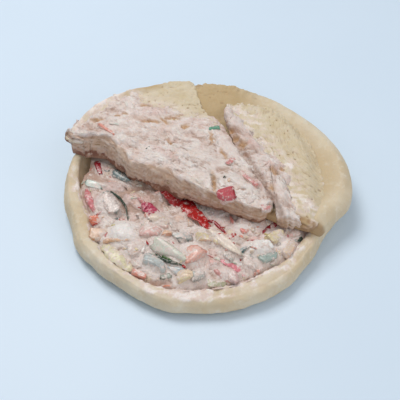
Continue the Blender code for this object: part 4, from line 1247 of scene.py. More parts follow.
def build_flap_spread():
    fold = [fold_point(s) + BACKWARD * (set_back(s) - 1.3)
            for s in (0.035, 0.075, 0.12, 0.18, 0.24, 0.33, 0.46, 0.59, 0.70, 0.80)]
    tear = [(35.8, -15), (29.5, -2.5), (22.5, 8), (17.3, 19), (13.5, 31), (9.5, 40)]
    back = [(4, 46.5), (-12, 51.5), (-23, 58), (-36, 62), (-42, 67), (-52, 62.5), (-61, 56),
            (-69.5, 47), (-79.8, 30.5)]
    outline = closed_curve(fold + tear + back, 620)
    centre = np.array((-20.0, 22.0))
    share = behind_fold(*outline.T)[1]
    outline = ragged_outline(outline, centre, 0.9 + 1.7 * (1 - ramp(share, 0.02, 0.12)), 101)
    face = fall(behind_edge(*outline.T), 6.0, 4.0) * fall(share, 0.86, 0.05)
    back_off = np.interp(share, *zip(*FOLD_LEANS)) + 0.9 * rough(share * 14, 0.5, 0.0, 103, 2)
    lean = (face * np.maximum(back_off, 0.3))[:, None] * BACKWARD

    def under(x, y):
        share = behind_fold(x, y)[1]
        hang = 5.2 + 1.9 * (1 - ramp(share, 0.45, 0.2)) + 0.9 * rough(share * 15, 0.7, 0.0, 105, 2)
        return left_flap_top(x, y) - 2.0 - hang * (1 - ramp(behind_edge(x, y), -0.8, 3.5))

    def colours(x, y):
        lifted, tint = lift_chunks(x, y, np.zeros_like(x), FLAP_CHUNKS, 2.0, 1.0)
        depth, brown = marks(x, y, SLITS)
        tint = dyed(tint, (*BRIGHT, 0.8), 0.6 * ramp(rough(x / 9, y / 6, 0.0, 133, 3), 0.05, 0.4))
        tint = dyed(tint, (0.66, 0.46, 0.35, 0.8), 0.6 * ramp(rough(x / 8, y / 6, 0.0, 137, 3), 0.15, 0.4))
        # Painted shade in the tear's crevice: the cream turns brown-grey towards the tear.
        beyond = right_of_tear(x, y) + 2.0 + 0.8 * rough(x / 4, y / 4, 0.0, 131, 2)
        tint = dyed(tint, (0.42, 0.29, 0.235, 1.0), 0.85 * smoothstep(beyond / 1.8))
        raised = 1.5 * np.maximum(lifted, 0.0) * smoothstep(behind_fold(x, y)[0] / 5.0)
        return tint, depth - raised, brown

    spread_piece("flap_cream", "flap_spread", outline, centre, under, flap_cream_top, face, lean,
                 np.linspace(0.4, 21, 50), np.linspace(0.03, 0.98, 34), colours)


TEAR_CHUNKS = (
    (14, 45, 7, 5, 1.2, -50, 0.0, WHITE, 0.5), (20, 33, 8, 5, 1.4, -60, 0.0, WHITE, 0.4),
    (27, 21, 9, 6, 1.4, -60, 0.0, PINK, 0.4), (36, 6, 8, 6, 1.3, -60, 0.0, PINK, 0.4),
    (40, -4, 9, 6, 1.6, -70, 0.0, WHITE, 0.7), (40, -17, 9, 6, 1.6, -80, 0.0, WHITE, 0.5),
    (41, -26, 8, 5, 1.4, -80, 0.0, WHITE, 0.5),
)


def build_tear_spread():
    outer = [(50.0, -28.8), (51.5, -21), (50.5, -10), (51.5, 1), (48.5, 12), (42.5, 22), (34.5, 32),
             (27, 44), (16, 57)]
    tear = [(11.0, 49), (11.6, 40.5), (14.2, 31), (17.8, 19), (23.4, 6.6), (29.6, -4.4), (35.0, -13),
            (36.8, -20), (38.2, -27)]
    centre = np.array((35.0, 9.0))
    outline = ragged_outline(closed_curve(outer + tear, 400), centre, 1.2, 121)
    thick_line = closed_curve([(48.5, -34), (46.5, -21), (44.5, -9), (45.5, 2), (42.5, 10), (37, 17),
                               (30.5, 25), (25, 33), (19.5, 43), (11, 53), (8, 48), (12, 36), (16, 19),
                               (30, -8), (34, -20), (36, -36)], 200)

    def under(x, y):
        behind, share = behind_fold(x, y)
        hang = 2.6 + 1.2 * rough(share * 15, 0.7, 0.0, 129, 2)
        return right_flap_top(x, y) - 3.2 - hang * (1 - ramp(behind, -0.8, 3.5))

    def over(x, y):
        inside = inside_distance(thick_line, x, y) + 3.4 * rough(x / 5, y / 5, 0.0, 127, 3)
        thick = 1.3 * ramp(inside, -0.5, 6.0) - 1.7 * fall(inside, 0.5, 2.5)
        gully = 2.2 * (1 - ramp(right_of_tear(x, y), -1.2, 3.4)) * ramp(behind_fold(x, y)[0], -3, 4.0)
        return right_flap_top(x, y) + 0.4 + thick - gully

    def colours(x, y):
        lifted, tint = lift_chunks(x, y, np.zeros_like(x), TEAR_CHUNKS)
        depth, brown = marks(x, y, HOLLOWS)
        # Painted shade in the tear's crevice: the cream's tear side turns brown-grey.
        beyond = right_of_tear(x, y) - 0.2 + 0.8 * rough(x / 4, y / 4, 0.0, 131, 2)
        tint = dyed(tint, (0.40, 0.28, 0.225, 1.0), 0.9 * (1 - smoothstep(beyond / 2.4)))
        return tint, depth - np.maximum(lifted, 0.0), brown

    face = 0.8 * fall(behind_fold(*outline.T)[0], 5.0, 4.0)
    spread_piece("tear_cream", "tear_spread", outline, centre, under, over, face, 0.0,
                 np.linspace(0.4, 9, 22), np.linspace(0.08, 0.97, 18), colours)


# Vegetables

CLING_COVER = 0.8


class Heap:
    """Collects small shapes of one finish into one piece."""

    def __init__(self):
        self.verts, self.faces, self.colour, self.cover, self.count = [], [], [], [], 0

    def add(self, grid, colour, cover, surface):
        """A closed shape from rings with a pole at each end. `surface` gives the mix's height, and the
        mix clings to the shape and covers it near there."""
        verts = with_poles(grid)
        depth = verts[:, 2] - surface(verts[:, 0], verts[:, 1])
        colour = with_poles(np.broadcast_to(colour, grid.shape))
        cover = with_poles(np.broadcast_to(cover, grid.shape[:2]))
        self.faces += ring_faces(*grid.shape[:2], self.count)
        self.verts.append(verts)
        self.colour.append(np.column_stack([colour, np.ones(len(colour))]))
        self.cover.append(cover + CLING_COVER * fall(depth, 1.0, 1.3))
        self.count += len(verts)

    def piece(self, name, finish, nodes):
        made = object_from(name, np.concatenate(self.verts), self.faces, FINISHES[finish],
                           {"colour": np.concatenate(self.colour), "cover": np.concatenate(self.cover)})
        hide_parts(*nodes)


def turn_matrix(heading, roll, pitch):
    """Rotation by angles in degrees: roll about x, then pitch about y, then heading about z."""
    h, r, p = (math.radians(v) for v in (heading, roll, pitch))
    about_x = np.array([[1, 0, 0], [0, math.cos(r), -math.sin(r)], [0, math.sin(r), math.cos(r)]])
    about_y = np.array([[math.cos(p), 0, math.sin(p)], [0, 1, 0], [-math.sin(p), 0, math.cos(p)]])
    about_z = np.array([[math.cos(h), -math.sin(h), 0], [math.sin(h), math.cos(h), 0], [0, 0, 1]])
    return about_z @ about_y @ about_x


def cut_piece(seed, square, taper, warp, rings, around):
    """A cut piece from -1 to 1 with rounded edges, narrower at its +x end by the taper, as rings from
    its underside to its top, and 1 along its edges."""
    u = np.radians(np.linspace(-86, 86, rings))[:, None]
    v = (np.arange(around) * 2 * math.pi / around)[None, :]
    shape = np.stack([np.cos(u) * np.cos(v), np.cos(u) * np.sin(v), np.sin(u) + 0 * v], axis=2)
    shape = np.sign(shape) * np.abs(shape) ** square
    ordered = np.sort(np.abs(shape), axis=2)
    edge = ramp(ordered[..., 1], 0.74, 0.2)
    lump, fine = (grain(*np.moveaxis(shape * scale, 2, 0), seed + k) for k, scale in enumerate((0.8, 2.4)))
    shape = shape * (1 + warp * (1.5 * lump + 0.6 * fine))[..., None]
    draw = np.random.default_rng(seed)
    for _ in range(6):
        normal = draw.normal(size=3)
        normal /= np.linalg.norm(normal)
        beyond = shape @ normal
        beyond = np.maximum(0.0, beyond - draw.uniform(0.60, 0.82) * beyond.max())
        shape = shape - beyond[..., None] * normal
    shape[..., 1] *= 1 - taper * (0.5 + 0.5 * shape[..., 0])
    return shape, edge


def ribbon(points, widths, thickness, camber, crinkle, seed):
    """A bent strip with a rounded section along a smooth path, and 1 on its upper side."""
    rings, around = 52, 16
    s = np.linspace(0, 1, rings)
    path = np.stack([np.interp(s, np.linspace(0, 1, len(points)), points[:, k]) for k in range(3)], axis=1)
    for _ in range(6):
        path[1:-1] = (path[:-2] + 2 * path[1:-1] + path[2:]) / 4
    width = np.interp(s, np.linspace(0, 1, len(widths)), widths)
    along = np.gradient(path, axis=0)
    along /= np.linalg.norm(along, axis=1, keepdims=True)
    side = np.cross((0, 0, 1.0), along)
    side /= np.linalg.norm(side, axis=1, keepdims=True)
    up = np.cross(along, side)
    v = np.arange(around) * 2 * math.pi / around
    cx = np.sign(np.cos(v)) * np.abs(np.cos(v)) ** 0.75
    cz = np.sign(np.sin(v)) * np.abs(np.sin(v)) ** 0.75
    ends = np.sqrt(np.clip(1 - (np.abs(2 * s - 1)) ** 7, 0.02, 1))
    rows = []
    for i in range(rings):
        w, h = width[i] / 2 * ends[i], thickness / 2 * ends[i]
        edge = 1 + 0.30 * grain(s[i] * rings * 0.16, np.sign(cx) * 3.0, 0.7, seed)
        arch = camber * (1 - cx * cx) * w * 0.35
        fold = crinkle * grain(s[i] * rings * 0.16, cx * w * 0.45, 0.2, seed + 5)
        rows.append(path[i] + side[i] * (cx * w * edge)[:, None] + up[i] * (cz * h + arch + fold)[:, None])
    rows = np.array(rows)[:, ::-1]
    return rows, ramp(cz[None, ::-1], -0.15, 0.3) * np.ones((rings, 1))


def mix_height(x, y):
    return mix_surface(x, y)[0]


SIDES = {
    "none": lambda g: np.zeros(g.shape[:2]),
    "all": lambda g: np.ones(g.shape[:2]),
    "top": lambda g: ramp(g[..., 2], 0.1, 0.4),
    "back": lambda g: ramp(g[..., 1], 0.55, 0.15),
    "front": lambda g: ramp(-g[..., 1], 0.55, 0.15),
    "right": lambda g: ramp(g[..., 0], 0.62, 0.14),
    "rim": lambda g: ramp(np.maximum(np.abs(g[..., 0]), np.abs(g[..., 1])), 0.78, 0.1),
}

Cut = namedtuple("Cut", "kind x y size heading roll pitch taper rise flesh side rind cover")


def cuts(*rows):
    """Cut pieces from rows of their finish, place, size, turns and taper, their rise over the mix, the
    colour of the flesh, the side with the rind and its colour, and how much of the mix covers them."""
    return [Cut(*row) for row in rows]


DICE = cuts(
    ("red_pepper", 13.6, -31.9, (5.0, 4.4, 4.4), 10, 8, 5, 0.1, 1.0, RED, "all", RED, 0.0),
    ("red_pepper", -59.8, -18.4, (6.6, 6.0, 4.6), 20, 22, -8, 0.1, 1.2,
     (0.74, 0.22, 0.13), "front", RED, 0.05),
    ("red_pepper", -60.5, 17.4, (11.0, 5.0, 3.4), -78, 0, 0, 0.3, 1.2, CRIMSON, "all", CRIMSON, -0.1),
    ("pink_pepper", -7.2, -47.2, (13.0, 12.5, 5.0), -118, 14, 4, 0.75, 1.9,
     (0.80, 0.46, 0.38), "rim", SALMON, 0.10),
    ("pink_pepper", 46.4, -29.1, (7.0, 6.5, 3.6), 10, 0, 0, 0.2, 0.5, PINK, "none", PINK, 0.6),
    ("pink_pepper", 25.7, -53.1, (4.5, 3.4, 2.4), 20, 0, 0, 0.2, 0.3, PINK, "top", SALMON, 0.4),
    ("cucumber", -19.5, -44.4, (20.0, 8.5, 6.0), -38, 24, 4, 0.35, 1.7,
     (0.70, 0.72, 0.62), "front", FLESH, 0.22),
    ("cucumber", -26.6, -49.8, (14.0, 7.5, 5.0), -34, -8, -4, 0.4, 1.4,
     (0.52, 0.56, 0.55), "back", TEAL, 0.16),
    ("cucumber", -15.5, -54.1, (11.0, 6.0, 4.6), -30, 14, 8, 0.3, 1.3,
     (0.46, 0.52, 0.54), "front", (0.16, 0.22, 0.24), 0.10),
    ("cucumber", -20.6, -56.5, (7.0, 6.0, 4.5), 8, 0, 0, 0.2, 1.1, (0.30, 0.32, 0.27), "rim", GREEN, 0.08),
    ("cucumber", -47.0, 9.4, (12.0, 6.4, 3.4), -38, 20, 0, 0.5, 1.4, (0.17, 0.22, 0.22), "back", GREEN, 0.06),
    ("cucumber", -62.4, 3.7, (11.5, 5.0, 3.0), -22, 14, 0, 0.5, 1.5,
     (0.72, 0.78, 0.72), "rim", (0.10, 0.17, 0.13), 0.0),
    ("cucumber", 19.3, -40.5, (10.0, 4.8, 3.6), 34, 14, 0, 0.3, 1.2, (0.42, 0.50, 0.50), "back", TEAL, 0.10),
    ("cucumber", 31.6, -46.0, (10.0, 6.0, 4.0), 15, 12, 0, 0.3, 1.1, (0.36, 0.44, 0.40), "back", TEAL, 0.14),
    ("cucumber", 5.0, -61.0, (10.0, 4.6, 2.6), -6, 0, 0, 0.2, 0.4, OLIVE, "none", OLIVE, 0.18),
    ("yellow_pepper", -10.9, -58.1, (8.5, 7.5, 5.0), 0, -6, 0, 0.2, 1.2,
     (0.78, 0.62, 0.45), "front", YELLOW, 0.20),
    ("yellow_pepper", -1.5, -34.7, (9.5, 5.0, 4.0), -10, 14, 0, 0.3, 1.3, YELLOW, "front", PEACH, 0.16),
    ("yellow_pepper", 36.5, -33.0, (9.5, 7.0, 4.6), 35, 10, 0, 0.3, 1.2,
     YELLOW, "back", (0.62, 0.55, 0.28), 0.20),
    ("pale_strip", -56.7, -28.9, (12.0, 8.0, 4.4), -8, 16, 0, 0.1, 1.2,
     (0.78, 0.56, 0.42), "rim", (0.70, 0.36, 0.17), 0.12),
    ("pale_strip", 42.6, -39.4, (9.5, 7.5, 4.0), 50, 6, 0, 0.3, 0.8,
     (0.74, 0.58, 0.42), "front", PEACH, 0.42),
    ("pale_strip", -34.6, -55.0, (9.0, 3.6, 3.0), -28, 0, 0, 0.3, 0.5, SALMON, "top", SALMON, 0.2),
    ("pale_strip", -19.9, -61.1, (7.0, 2.4, 2.2), -6, 0, 0, 0.3, 0.3,
     SALMON, "top", (0.68, 0.28, 0.18), 0.15),
    ("pale_strip", -20.6, -31.4, (7.5, 3.2, 3.2), 4, 0, 0, 0.3, 1.0,
     PEACH, "front", (0.66, 0.34, 0.22), 0.12),
    ("cream_mix", -44.5, -29.5, (11.5, 10.5, 7.0), 0, 0, 0, 0.1, 1.7,
     (0.93, 0.91, 0.89), "buried", BRIGHT, -0.3),
    ("cream_mix", -4.2, -57.7, (7.5, 7.4, 5.0), 10, 0, 0, 0.1, 1.2,
     (0.40, 0.41, 0.38), "rim", (0.30, 0.29, 0.26), 0.16),
    ("cucumber", -52.4, -10.5, (17.5, 11.0, 3.4), -56, 6, 0, 0.4, 0.7,
     (0.50, 0.42, 0.39), "rim", (0.22, 0.27, 0.25), 0.26),
    ("cream_mix", -13.0, -33.6, (10.0, 6.4, 3.6), 0, -10, 0, 0.3, 1.3,
     (0.48, 0.50, 0.48), "front", (0.18, 0.23, 0.22), 0.25),
    ("cream_mix", 9.0, -37.9, (24.0, 7.0, 4.4), -50, 14, 0, 0.2, 1.5,
     (0.80, 0.69, 0.58), "front", BEIGE, 0.12),
    ("cream_mix", 28.1, -39.7, (13.0, 8.0, 5.0), 8, 8, 0, 0.3, 1.5, BRIGHT, "front", BEIGE, 0.0),
    ("cream_mix", -30.0, -29.1, (11.0, 8.0, 4.0), -15, 10, 0, 0.3, 0.9, PINK, "none", PINK, 0.32),
    ("cream_mix", -24.9, -21.8, (12.0, 9.0, 4.0), -30, -12, 0, 0.5, 1.0, BEIGE, "back", WHITE, 0.34),
    ("cream_mix", -36.1, -39.8, (12.0, 8.0, 4.0), 30, 10, 0, 0.3, 0.9, WHITE, "front", PEACH, 0.55),
    ("cream_mix", 20.1, -23.5, (12.0, 8.0, 4.0), 10, 6, 0, 0.3, 0.8, MAUVE, "none", MAUVE, 0.55),
    ("cream_mix", 12.2, -56.9, (12.0, 6.5, 4.0), -42, 14, 0, 0.2, 1.0,
     (0.64, 0.44, 0.42), "front", MAUVE, 0.22),
    ("cream_mix", 3.1, -50.5, (7.5, 5.0, 3.4), 0, 6, 0, 0.3, 0.9, PINK, "front", ROSE, 0.2),
    ("cream_mix", -37.0, -48.1, (10.0, 6.0, 3.4), -40, 8, 0, 0.3, 0.8,
     (0.70, 0.70, 0.62), "none", GREY, 0.45),
    ("cream_mix", 21.3, -50.5, (9.0, 6.0, 3.6), -30, 8, 0, 0.3, 0.9, WHITE, "none", WHITE, 0.6),
)
FLAP_DICE = cuts(
    ("pink_pepper", -56.0, 29.6, (15.0, 2.8, 2.2), -42, 0, 0, 0.2, 0.5, PINK, "top", SALMON, 0.15),
    ("cucumber", -52.6, 35.0, (8.0, 4.0, 1.8), -20, 0, 0, 0.3, 0.2, (0.50, 0.62, 0.56), "none", TEAL, 0.35),
    ("red_pepper", 10.6, -15.4, (10.0, 9.5, 7.0), 15, 25, 0, 0.15, 2.4,
     (0.56, 0.10, 0.12), "right", CRIMSON, 0.05),
    ("cucumber", 5.0, 33.4, (6.5, 3.4, 2.4), 10, 0, 0, 0.1, 0.9, (0.14, 0.36, 0.25), "none", TEAL, 0.0),
    ("pink_pepper", 13.6, 8.4, (6.5, 3.6, 2.4), 40, 0, 0, 0.3, 0.4, SALMON, "top", ROSE, 0.25),
    ("pink_pepper", 23.0, -4.2, (14.0, 3.2, 2.4), -52, 0, 0, 0.3, 0.4, SALMON, "top", ROSE, 0.25),
    ("pink_pepper", 31.4, -23.0, (5.5, 4.2, 2.8), 0, 0, 0, 0.2, 0.5, (0.50, 0.24, 0.28), "top", ROSE, 0.2),
    ("cucumber", -32.1, 16.0, (3.4, 1.2, 1.0), 40, 0, 0, 0.1, 0.5, TEAL, "all", GREEN, 0.0),
    ("cucumber", 10.0, -3.0, (2.2, 1.6, 1.2), 0, 0, 0, 0.1, 0.4, TEAL, "all", GREEN, 0.0),
    ("cream_mix", 21.5, -13.8, (13.0, 9.0, 4.6), -62, 8, 0, 0.3, 0.9, WHITE, "none", WHITE, 0.5),
    ("cream_mix", 8.6, -7.6, (9.0, 4.6, 3.6), -80, 8, 0, 0.2, 0.6, WHITE, "none", WHITE, 0.4),
    ("pale_strip", 14.4, -1.5, (11.0, 2.6, 2.0), 58, 0, 0, 0.2, 0.3, PEACH, "none", PEACH, 0.4),
    ("cream_mix", 4.6, 27.0, (10.0, 4.0, 3.0), -76, 6, 0, 0.3, 0.5, WHITE, "none", WHITE, 0.5),
)

# Strips: finish, path as x, y and rise over the mix, widths, thickness, camber, crinkle, colours of the
# upper side and of the flesh, cover
STRIPS = (
    # The first red strip's darker upper side is partly the pepper's deep red, partly painted shade of the
    # fold.
    ("red_pepper", ((-24.4, 1.2, 0.6), (-20.0, -2.8, 1.6), (-15.0, -7.0, 1.8), (-9.6, -9.1, 1.5),
     (-6.0, -12.9, 0.8)), (5.0, 9.0, 11.0, 9.0, 5.0), 1.6, 0.2, 1.3, (0.30, 0.008, 0.011), CRIMSON, 0.02),
    ("red_pepper", ((-14.6, -6.7, 0.8), (-9.0, -12.5, 1.8), (-4.0, -19.5, 1.9), (0.5, -25.3, 1.2),
     (2.5, -30.0, 0.4)), (5.0, 8.5, 7.0, 4.5, 2.0), 1.6, 0.2, 1.4, RED, SALMON, 0.06),
    ("red_pepper", ((0.5, -20.2, 1.2), (4.6, -22.0, 1.4), (7.6, -26.2, 1.2), (10.1, -30.0, 0.8)),
     (1.4, 2.0, 1.8, 1.4), 1.8, 0.3, 0.2, CRIMSON, CRIMSON, 0.05),
    ("red_pepper", ((29.5, -29.1, 0.6), (33.4, -25.3, 1.0), (39.2, -22.0, 1.0)), (2.0, 3.2, 2.4), 2.2, 0.3,
     0.2, CRIMSON, CRIMSON, 0.2),
    ("pink_pepper", ((-66.2, 2.2, 0.6), (-65.1, -3.4, 1.2), (-63.4, -7.8, 1.3), (-60.1, -13.9, 0.6)),
     (2.4, 4.2, 4.0, 2.4), 2.6, 0.4, 0.6, (0.66, 0.20, 0.22), PINK, 0.15),
    ("pink_pepper", ((-37.7, -6.3, 0.3), (-34.9, -8.8, 0.8), (-32.5, -11.6, 0.8)), (1.6, 2.2, 2.6), 1.8,
     0.3, 0.3, ROSE, PINK, 0.3),
    ("pink_pepper", ((-35.0, -9.4, 0.8), (-31.6, -11.8, 1.3), (-28.5, -16.8, 1.2), (-27.1, -21.2, 0.6)),
     (4.0, 8.0, 6.5, 3.0), 1.6, 0.4, 1.2, (0.48, 0.05, 0.11), ROSE, 0.14),
    ("pink_pepper", ((6.9, -47.4, 0.6), (11.2, -49.7, 1.4), (15.8, -52.8, 1.6), (20.5, -55.9, 0.5)),
     (2.6, 3.8, 4.4, 3.0), 2.4, -0.6, 0.5, (0.74, 0.24, 0.28), PINK, 0.08),
    ("pink_pepper", ((12.8, -15.5, 0.6), (14.2, -21.7, 1.3), (19.6, -29.7, 1.3), (27.3, -24.0, 0.7)),
     (1.6, 2.0, 3.0, 1.8), 2.2, 0.3, 0.2, (0.72, 0.26, 0.22), PINK, 0.10),
    ("cucumber", ((-52.8, -2.3, 1.6), (-47.2, -6.9, 2.1), (-43.7, -11.6, 2.0), (-41.3, -23.8, 0.8)),
     (0.7, 1.1, 1.1, 0.7), 2.6, 0.0, 0.0, GREEN, TEAL, 0.0),
    ("cucumber", ((-28.7, -41.8, 1.2), (-23.2, -48.2, 1.7), (-17.7, -50.6, 1.6), (-11.1, -51.9, 0.8)),
     (1.0, 2.2, 2.0, 1.0), 2.0, 0.1, 0.3, GREEN, TEAL, 0.08),
    ("cucumber", ((-22.9, -47.2, 1.9), (-20.6, -48.7, 2.0), (-17.8, -50.2, 1.8)), (0.8, 1.4, 0.8), 1.8, 0.1,
     0.2, (0.07, 0.14, 0.03), GREEN, 0.0),
    ("cucumber", ((-29.6, -39.8, 1.2), (-27.8, -41.8, 1.6), (-25.6, -45.7, 1.2)), (0.7, 1.1, 0.7), 1.8, 0.0,
     0.1, TEAL, GREEN, 0.1),
    ("cucumber", ((-17.2, -33.8, 1.2), (-13.8, -36.8, 1.6), (-8.8, -35.7, 1.1)), (0.5, 1.0, 0.5), 1.8, 0.0,
     0.0, TEAL, GREEN, 0.12),
    ("cucumber", ((15.5, -46.9, 1.2), (18.9, -42.5, 1.9), (23.0, -41.1, 1.4)), (1.0, 2.0, 1.2), 1.8, 0.2,
     0.2, TEAL, GREEN, 0.2),
    ("cucumber", ((27.1, -48.2, 1.0), (30.0, -46.5, 1.6), (33.5, -46.6, 1.2)), (0.7, 1.3, 0.7), 1.8, 0.0,
     0.0, TEAL, GREEN, 0.2),
    ("cucumber", ((47.4, -34.2, 0.6), (50.0, -30.9, 0.9), (50.5, -30.2, 0.5)), (1.4, 2.2, 1.4), 2.0, 0.0,
     0.2, GREEN, GREEN, 0.0),
    ("yellow_pepper", ((-54.4, -34.4, 0.6), (-49.7, -41.7, 1.1), (-44.0, -48.1, 1.1), (-37.9, -52.7, 0.5)),
     (4.5, 7.5, 7.0, 3.5), 1.6, 0.4, 0.9, (0.74, 0.68, 0.46), (0.70, 0.50, 0.24), 0.36),
    ("yellow_pepper", ((2.5, -35.3, 0.9), (5.5, -37.1, 1.1), (9.5, -39.7, 0.8)), (3.2, 4.0, 2.8), 2.4, 0.4,
     0.5, YELLOW, PEACH, 0.4),
    ("pale_strip", ((-54.4, -34.3, 0.6), (-52.4, -33.9, 1.3), (-46.3, -34.4, 1.5), (-39.6, -35.0, 0.9)),
     (1.6, 2.6, 2.8, 2.0), 2.4, 0.3, 0.3, PEACH, (0.66, 0.38, 0.18), 0.10),
    ("pale_strip", ((3.3, -52.8, 0.7), (9.6, -58.3, 1.4), (12.8, -59.0, 1.2), (14.6, -58.4, 0.5)),
     (2.4, 3.8, 3.6, 2.2), 2.6, 0.3, 0.5, (0.58, 0.28, 0.26), PEACH, 0.15),
)
REPLACED = {
    "red_pepper": ("red_pepper_strip", "red_pepper_tip", "red_pepper_dice", "dark_pepper_strip"),
    "pink_pepper": ("pink_pepper_sliver", "pink_pepper_flake", "pink_pepper_dice", "pink_pepper_strip"),
    "cucumber": ("cucumber_slice", "cucumber_wedge", "cucumber_stub", "cucumber_chip_left",
                 "cucumber_chip_middle", "cucumber_chip_right"),
    "yellow_pepper": ("yellow_pepper_lump", "yellow_pepper_leaf", "yellow_pepper_chip", "yellow_pepper_end"),
    "pale_strip": ("pale_strip_left", "pale_strip_right"),
    "cream_mix": ("filling",),
}
FINE_COUNT, SHRED_COUNT = 84, 110
FINE_KINDS = (
    ("cream_mix", WHITE, 0.3), ("cream_mix", BEIGE, 0.35), ("cream_mix", GREY, 0.35),
    ("cream_mix", MAUVE, 0.35), ("pink_pepper", PINK, 0.45), ("pale_strip", PEACH, 0.45),
    ("pale_strip", SALMON, 0.5),
    ("yellow_pepper", YELLOW, 0.45), ("cucumber", FLESH, 0.45), ("cream_mix", WHITE, 0.7),
)


def fine_pieces():
    """Smaller cut pieces between the listed ones."""
    draw = np.random.default_rng(12)
    made = []
    while len(made) < FINE_COUNT:
        x, y = draw_spot(draw, 71)
        large = draw.uniform() ** 1.6
        size = (2.8 + 4.2 * large, 2.3 + 2.7 * large, 2.2 + 1.4 * large)
        heading, roll, pitch, taper = (draw.uniform(*v) for v in ((0, 180), (-26, 26), (-20, 20), (0.1, 0.6)))
        kind, flesh, cover = FINE_KINDS[int(draw.integers(len(FINE_KINDS)))]
        if in_open_mix(x, y, 1.0, 4.0):
            made.append(Cut(kind, x, y, size, heading, roll, pitch, taper, 0.0, flesh, "none", flesh, cover))
    return made


SHRED_KINDS = (
    ("red_pepper", RED, -0.1), ("red_pepper", (0.55, 0.08, 0.05), 0.1), ("pink_pepper", ROSE, 0.1),
    ("pink_pepper", SALMON, 0.2), ("pale_strip", SALMON, 0.2), ("pale_strip", PEACH, 0.2),
    ("yellow_pepper", YELLOW, 0.2), ("yellow_pepper", (0.66, 0.56, 0.22), 0.1), ("cucumber", TEAL, 0.1),
    ("cucumber", FLESH, 0.2), ("cream_mix", BRIGHT, 0.0), ("cream_mix", BRIGHT, 0.0),
    ("cream_mix", WHITE, 0.3),
    ("cream_mix", BEIGE, 0.3), ("cream_mix", GREY, 0.3), ("cream_mix", (0.30, 0.22, 0.19), 0.2),
)


def shreds():
    """Thin shreds all over the mix."""
    draw = np.random.default_rng(31)
    made = []
    while len(made) < SHRED_COUNT:
        x, y = draw_spot(draw, 72)
        size = (draw.uniform(1.6, 4.4), draw.uniform(0.8, 1.7), draw.uniform(0.8, 1.6))
        kind, flesh, cover = SHRED_KINDS[int(draw.integers(len(SHRED_KINDS)))]
        if in_open_mix(x, y, 1.5, 5.0):
            heading, roll, pitch = (draw.uniform(*v) for v in ((0, 180), (-15, 15), (-12, 12)))
            made.append(Cut(kind, x, y, size, heading, roll, pitch, 0.4, 0.0, flesh, "none", flesh, cover))
    return made


def ground(x, y):
    """Height of the mix between the cut pieces."""
    return float(lift_chunks(x, y, mix_base(x, y), LOOSE_CHUNKS)[0]) - 0.7


def stand(cut):
    """How far a cut piece stands over the mix round it."""
    return 1.1 + 1.3 * cut.rise


def mounds(cuts):
    """The mix that climbs up the sides of the cut pieces: a wide, low mound and a close, higher one."""
    made = []
    for cut in cuts:
        cling = 0.25 if cut.kind == "cream_mix" else -0.1
        rise = ground(cut.x, cut.y) - float(mix_base(cut.x, cut.y)) + stand(cut) + cling
        clump = min(cut.flesh) > 0.8
        tint = cut.flesh if clump else tuple(0.5 * a + 0.5 * b for a, b in zip(WHITE, cut.flesh))
        strength = 0.9 if clump else 0.4
        for scale, margin, share, colour in ((1.7, 3.0, 0.7, WHITE), (1.25, 1.6, 1.1, tint)):
            length, width = (scale * side + margin for side in cut.size[:2])
            made.append((cut.x, cut.y, length, width, share * rise, cut.heading, 0.0, colour, strength))
    return made


def drop(heap, cut, height, surface):
    """Adds a cut piece to a heap, with its top at a height."""
    square, warp = (0.50, 0.26) if cut.kind == "cream_mix" else (0.40, 0.20)
    rings, around = (10, 16) if cut.size[1] < 2.0 else (14, 22) if cut.size[0] < 7.6 else (18, 30)
    shape, edge = cut_piece(int(abs(cut.x * 7 + cut.y * 13)) % 97, square, cut.taper, warp, rings, around)
    colour = dyed(np.array(cut.flesh), cut.rind, SIDES[cut.side](shape))
    turned = (shape * np.array(cut.size) / 2.0) @ turn_matrix(cut.heading, cut.roll, cut.pitch).T
    place = np.array((cut.x, cut.y, height - cut.size[2] / 2.0))
    heap.add(turned + place, colour, cut.cover + 0.12 - 0.40 * edge, surface)


def build_vegetables():
    heaps = {name: Heap() for name in FINISHES}
    for cut in (*DICE, *FINE_PIECES):
        if cut.side != "buried":
            drop(heaps[cut.kind], cut, ground(cut.x, cut.y) + stand(cut), mix_height)
    for cut in SHREDS:
        drop(heaps[cut.kind], cut, float(mix_height(cut.x, cut.y)) + 0.4, lambda x, y: mix_height(x, y) - 0.6)
    for cut in FLAP_DICE:
        drop(heaps[cut.kind], cut, float(flap_cream_top(cut.x, cut.y)) + cut.rise + 0.5, flap_cream_top)
    for seed, (kind, path, widths, thickness, camber, crinkle, upper, flesh, cover) in enumerate(STRIPS):
        points = np.array(path)
        points[:, 2] += [ground(*point[:2]) for point in points] - np.array(thickness * 0.1)
        grid, above = ribbon(points, widths, thickness, camber, crinkle, seed)
        heaps[kind].add(grid, dyed(np.array(flesh), upper, above), cover, mix_height)
    for finish, heap in heaps.items():
        heap.piece(finish + "_pieces", finish, REPLACED[finish])


# Floor, light and camera

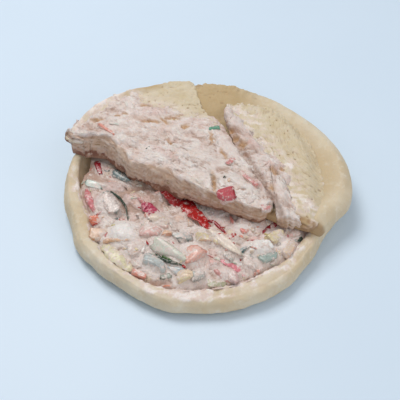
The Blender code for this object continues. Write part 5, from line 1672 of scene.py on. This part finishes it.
# Lamps aimed at the middle: name, place and size in metres, power in watts, colour
LAMPS = (
    ("key", (-0.30, 0.40, 0.90), 0.5, 5.7, (1.0, 0.98, 0.95)),
    ("fill", (0.7, -0.3, 0.6), 0.8, 1.8, (1.0, 0.98, 0.95)),
    ("front", (0.0, -0.8, 0.45), 0.9, 1.3, (1.0, 0.92, 0.83)),
)
CAMERA_PLACE = (-0.004466, -0.310197, 0.316071)
CAMERA_TILT = 45.0


def build_floor():
    half = 3.0
    data = bpy.data.meshes.new("floor")
    corners = [(-half, -half, 0), (half, -half, 0), (half, half, 0), (-half, half, 0)]
    data.from_pydata(corners, [], [(0, 1, 2, 3)])
    floor = in_scene("floor", data)
    floor.location.z = -0.0004
    look = Look("pale_floor")
    tint = look.mix(look.noise(90.0, 3.0), (0.66, 0.78, 0.91), (0.69, 0.81, 0.94))
    look.give(look.shader, Base_Color=tint, Roughness=0.5)
    data.materials.append(look.material)


def build_light():
    world = bpy.data.worlds.new("studio")
    bpy.context.scene.world = world
    world.use_nodes = True
    background = world.node_tree.nodes["Background"]
    background.inputs["Color"].default_value = (0.90, 0.95, 1.0, 1.0)
    background.inputs["Strength"].default_value = 0.40
    for name, place, size, power, colour in LAMPS:
        light = bpy.data.lights.new(name, "AREA")
        light.energy, light.size, light.color = power, size, colour
        lamp = in_scene(name, light)
        lamp.location = place
        lamp.rotation_euler = (-Vector(place)).to_track_quat("-Z", "Y").to_euler()


def build_camera():
    camera = bpy.data.cameras.new("camera")
    camera.lens, camera.sensor_width = 70.0, 36.0
    holder = in_scene("camera", camera)
    holder.location = CAMERA_PLACE
    holder.rotation_euler = (math.radians(CAMERA_TILT), 0.0, 0.0)
    bpy.context.scene.camera = holder
    bpy.context.scene.view_settings.view_transform = "Standard"


FINE_PIECES = fine_pieces()
SHREDS = shreds()
MOUNDS = mounds((*DICE, *FINE_PIECES))
build_pocket()
build_hinge()
build_left_flap()
build_right_flap()
build_filling()
build_flap_spread()
build_tear_spread()
build_vegetables()
build_floor()
build_light()
build_camera()
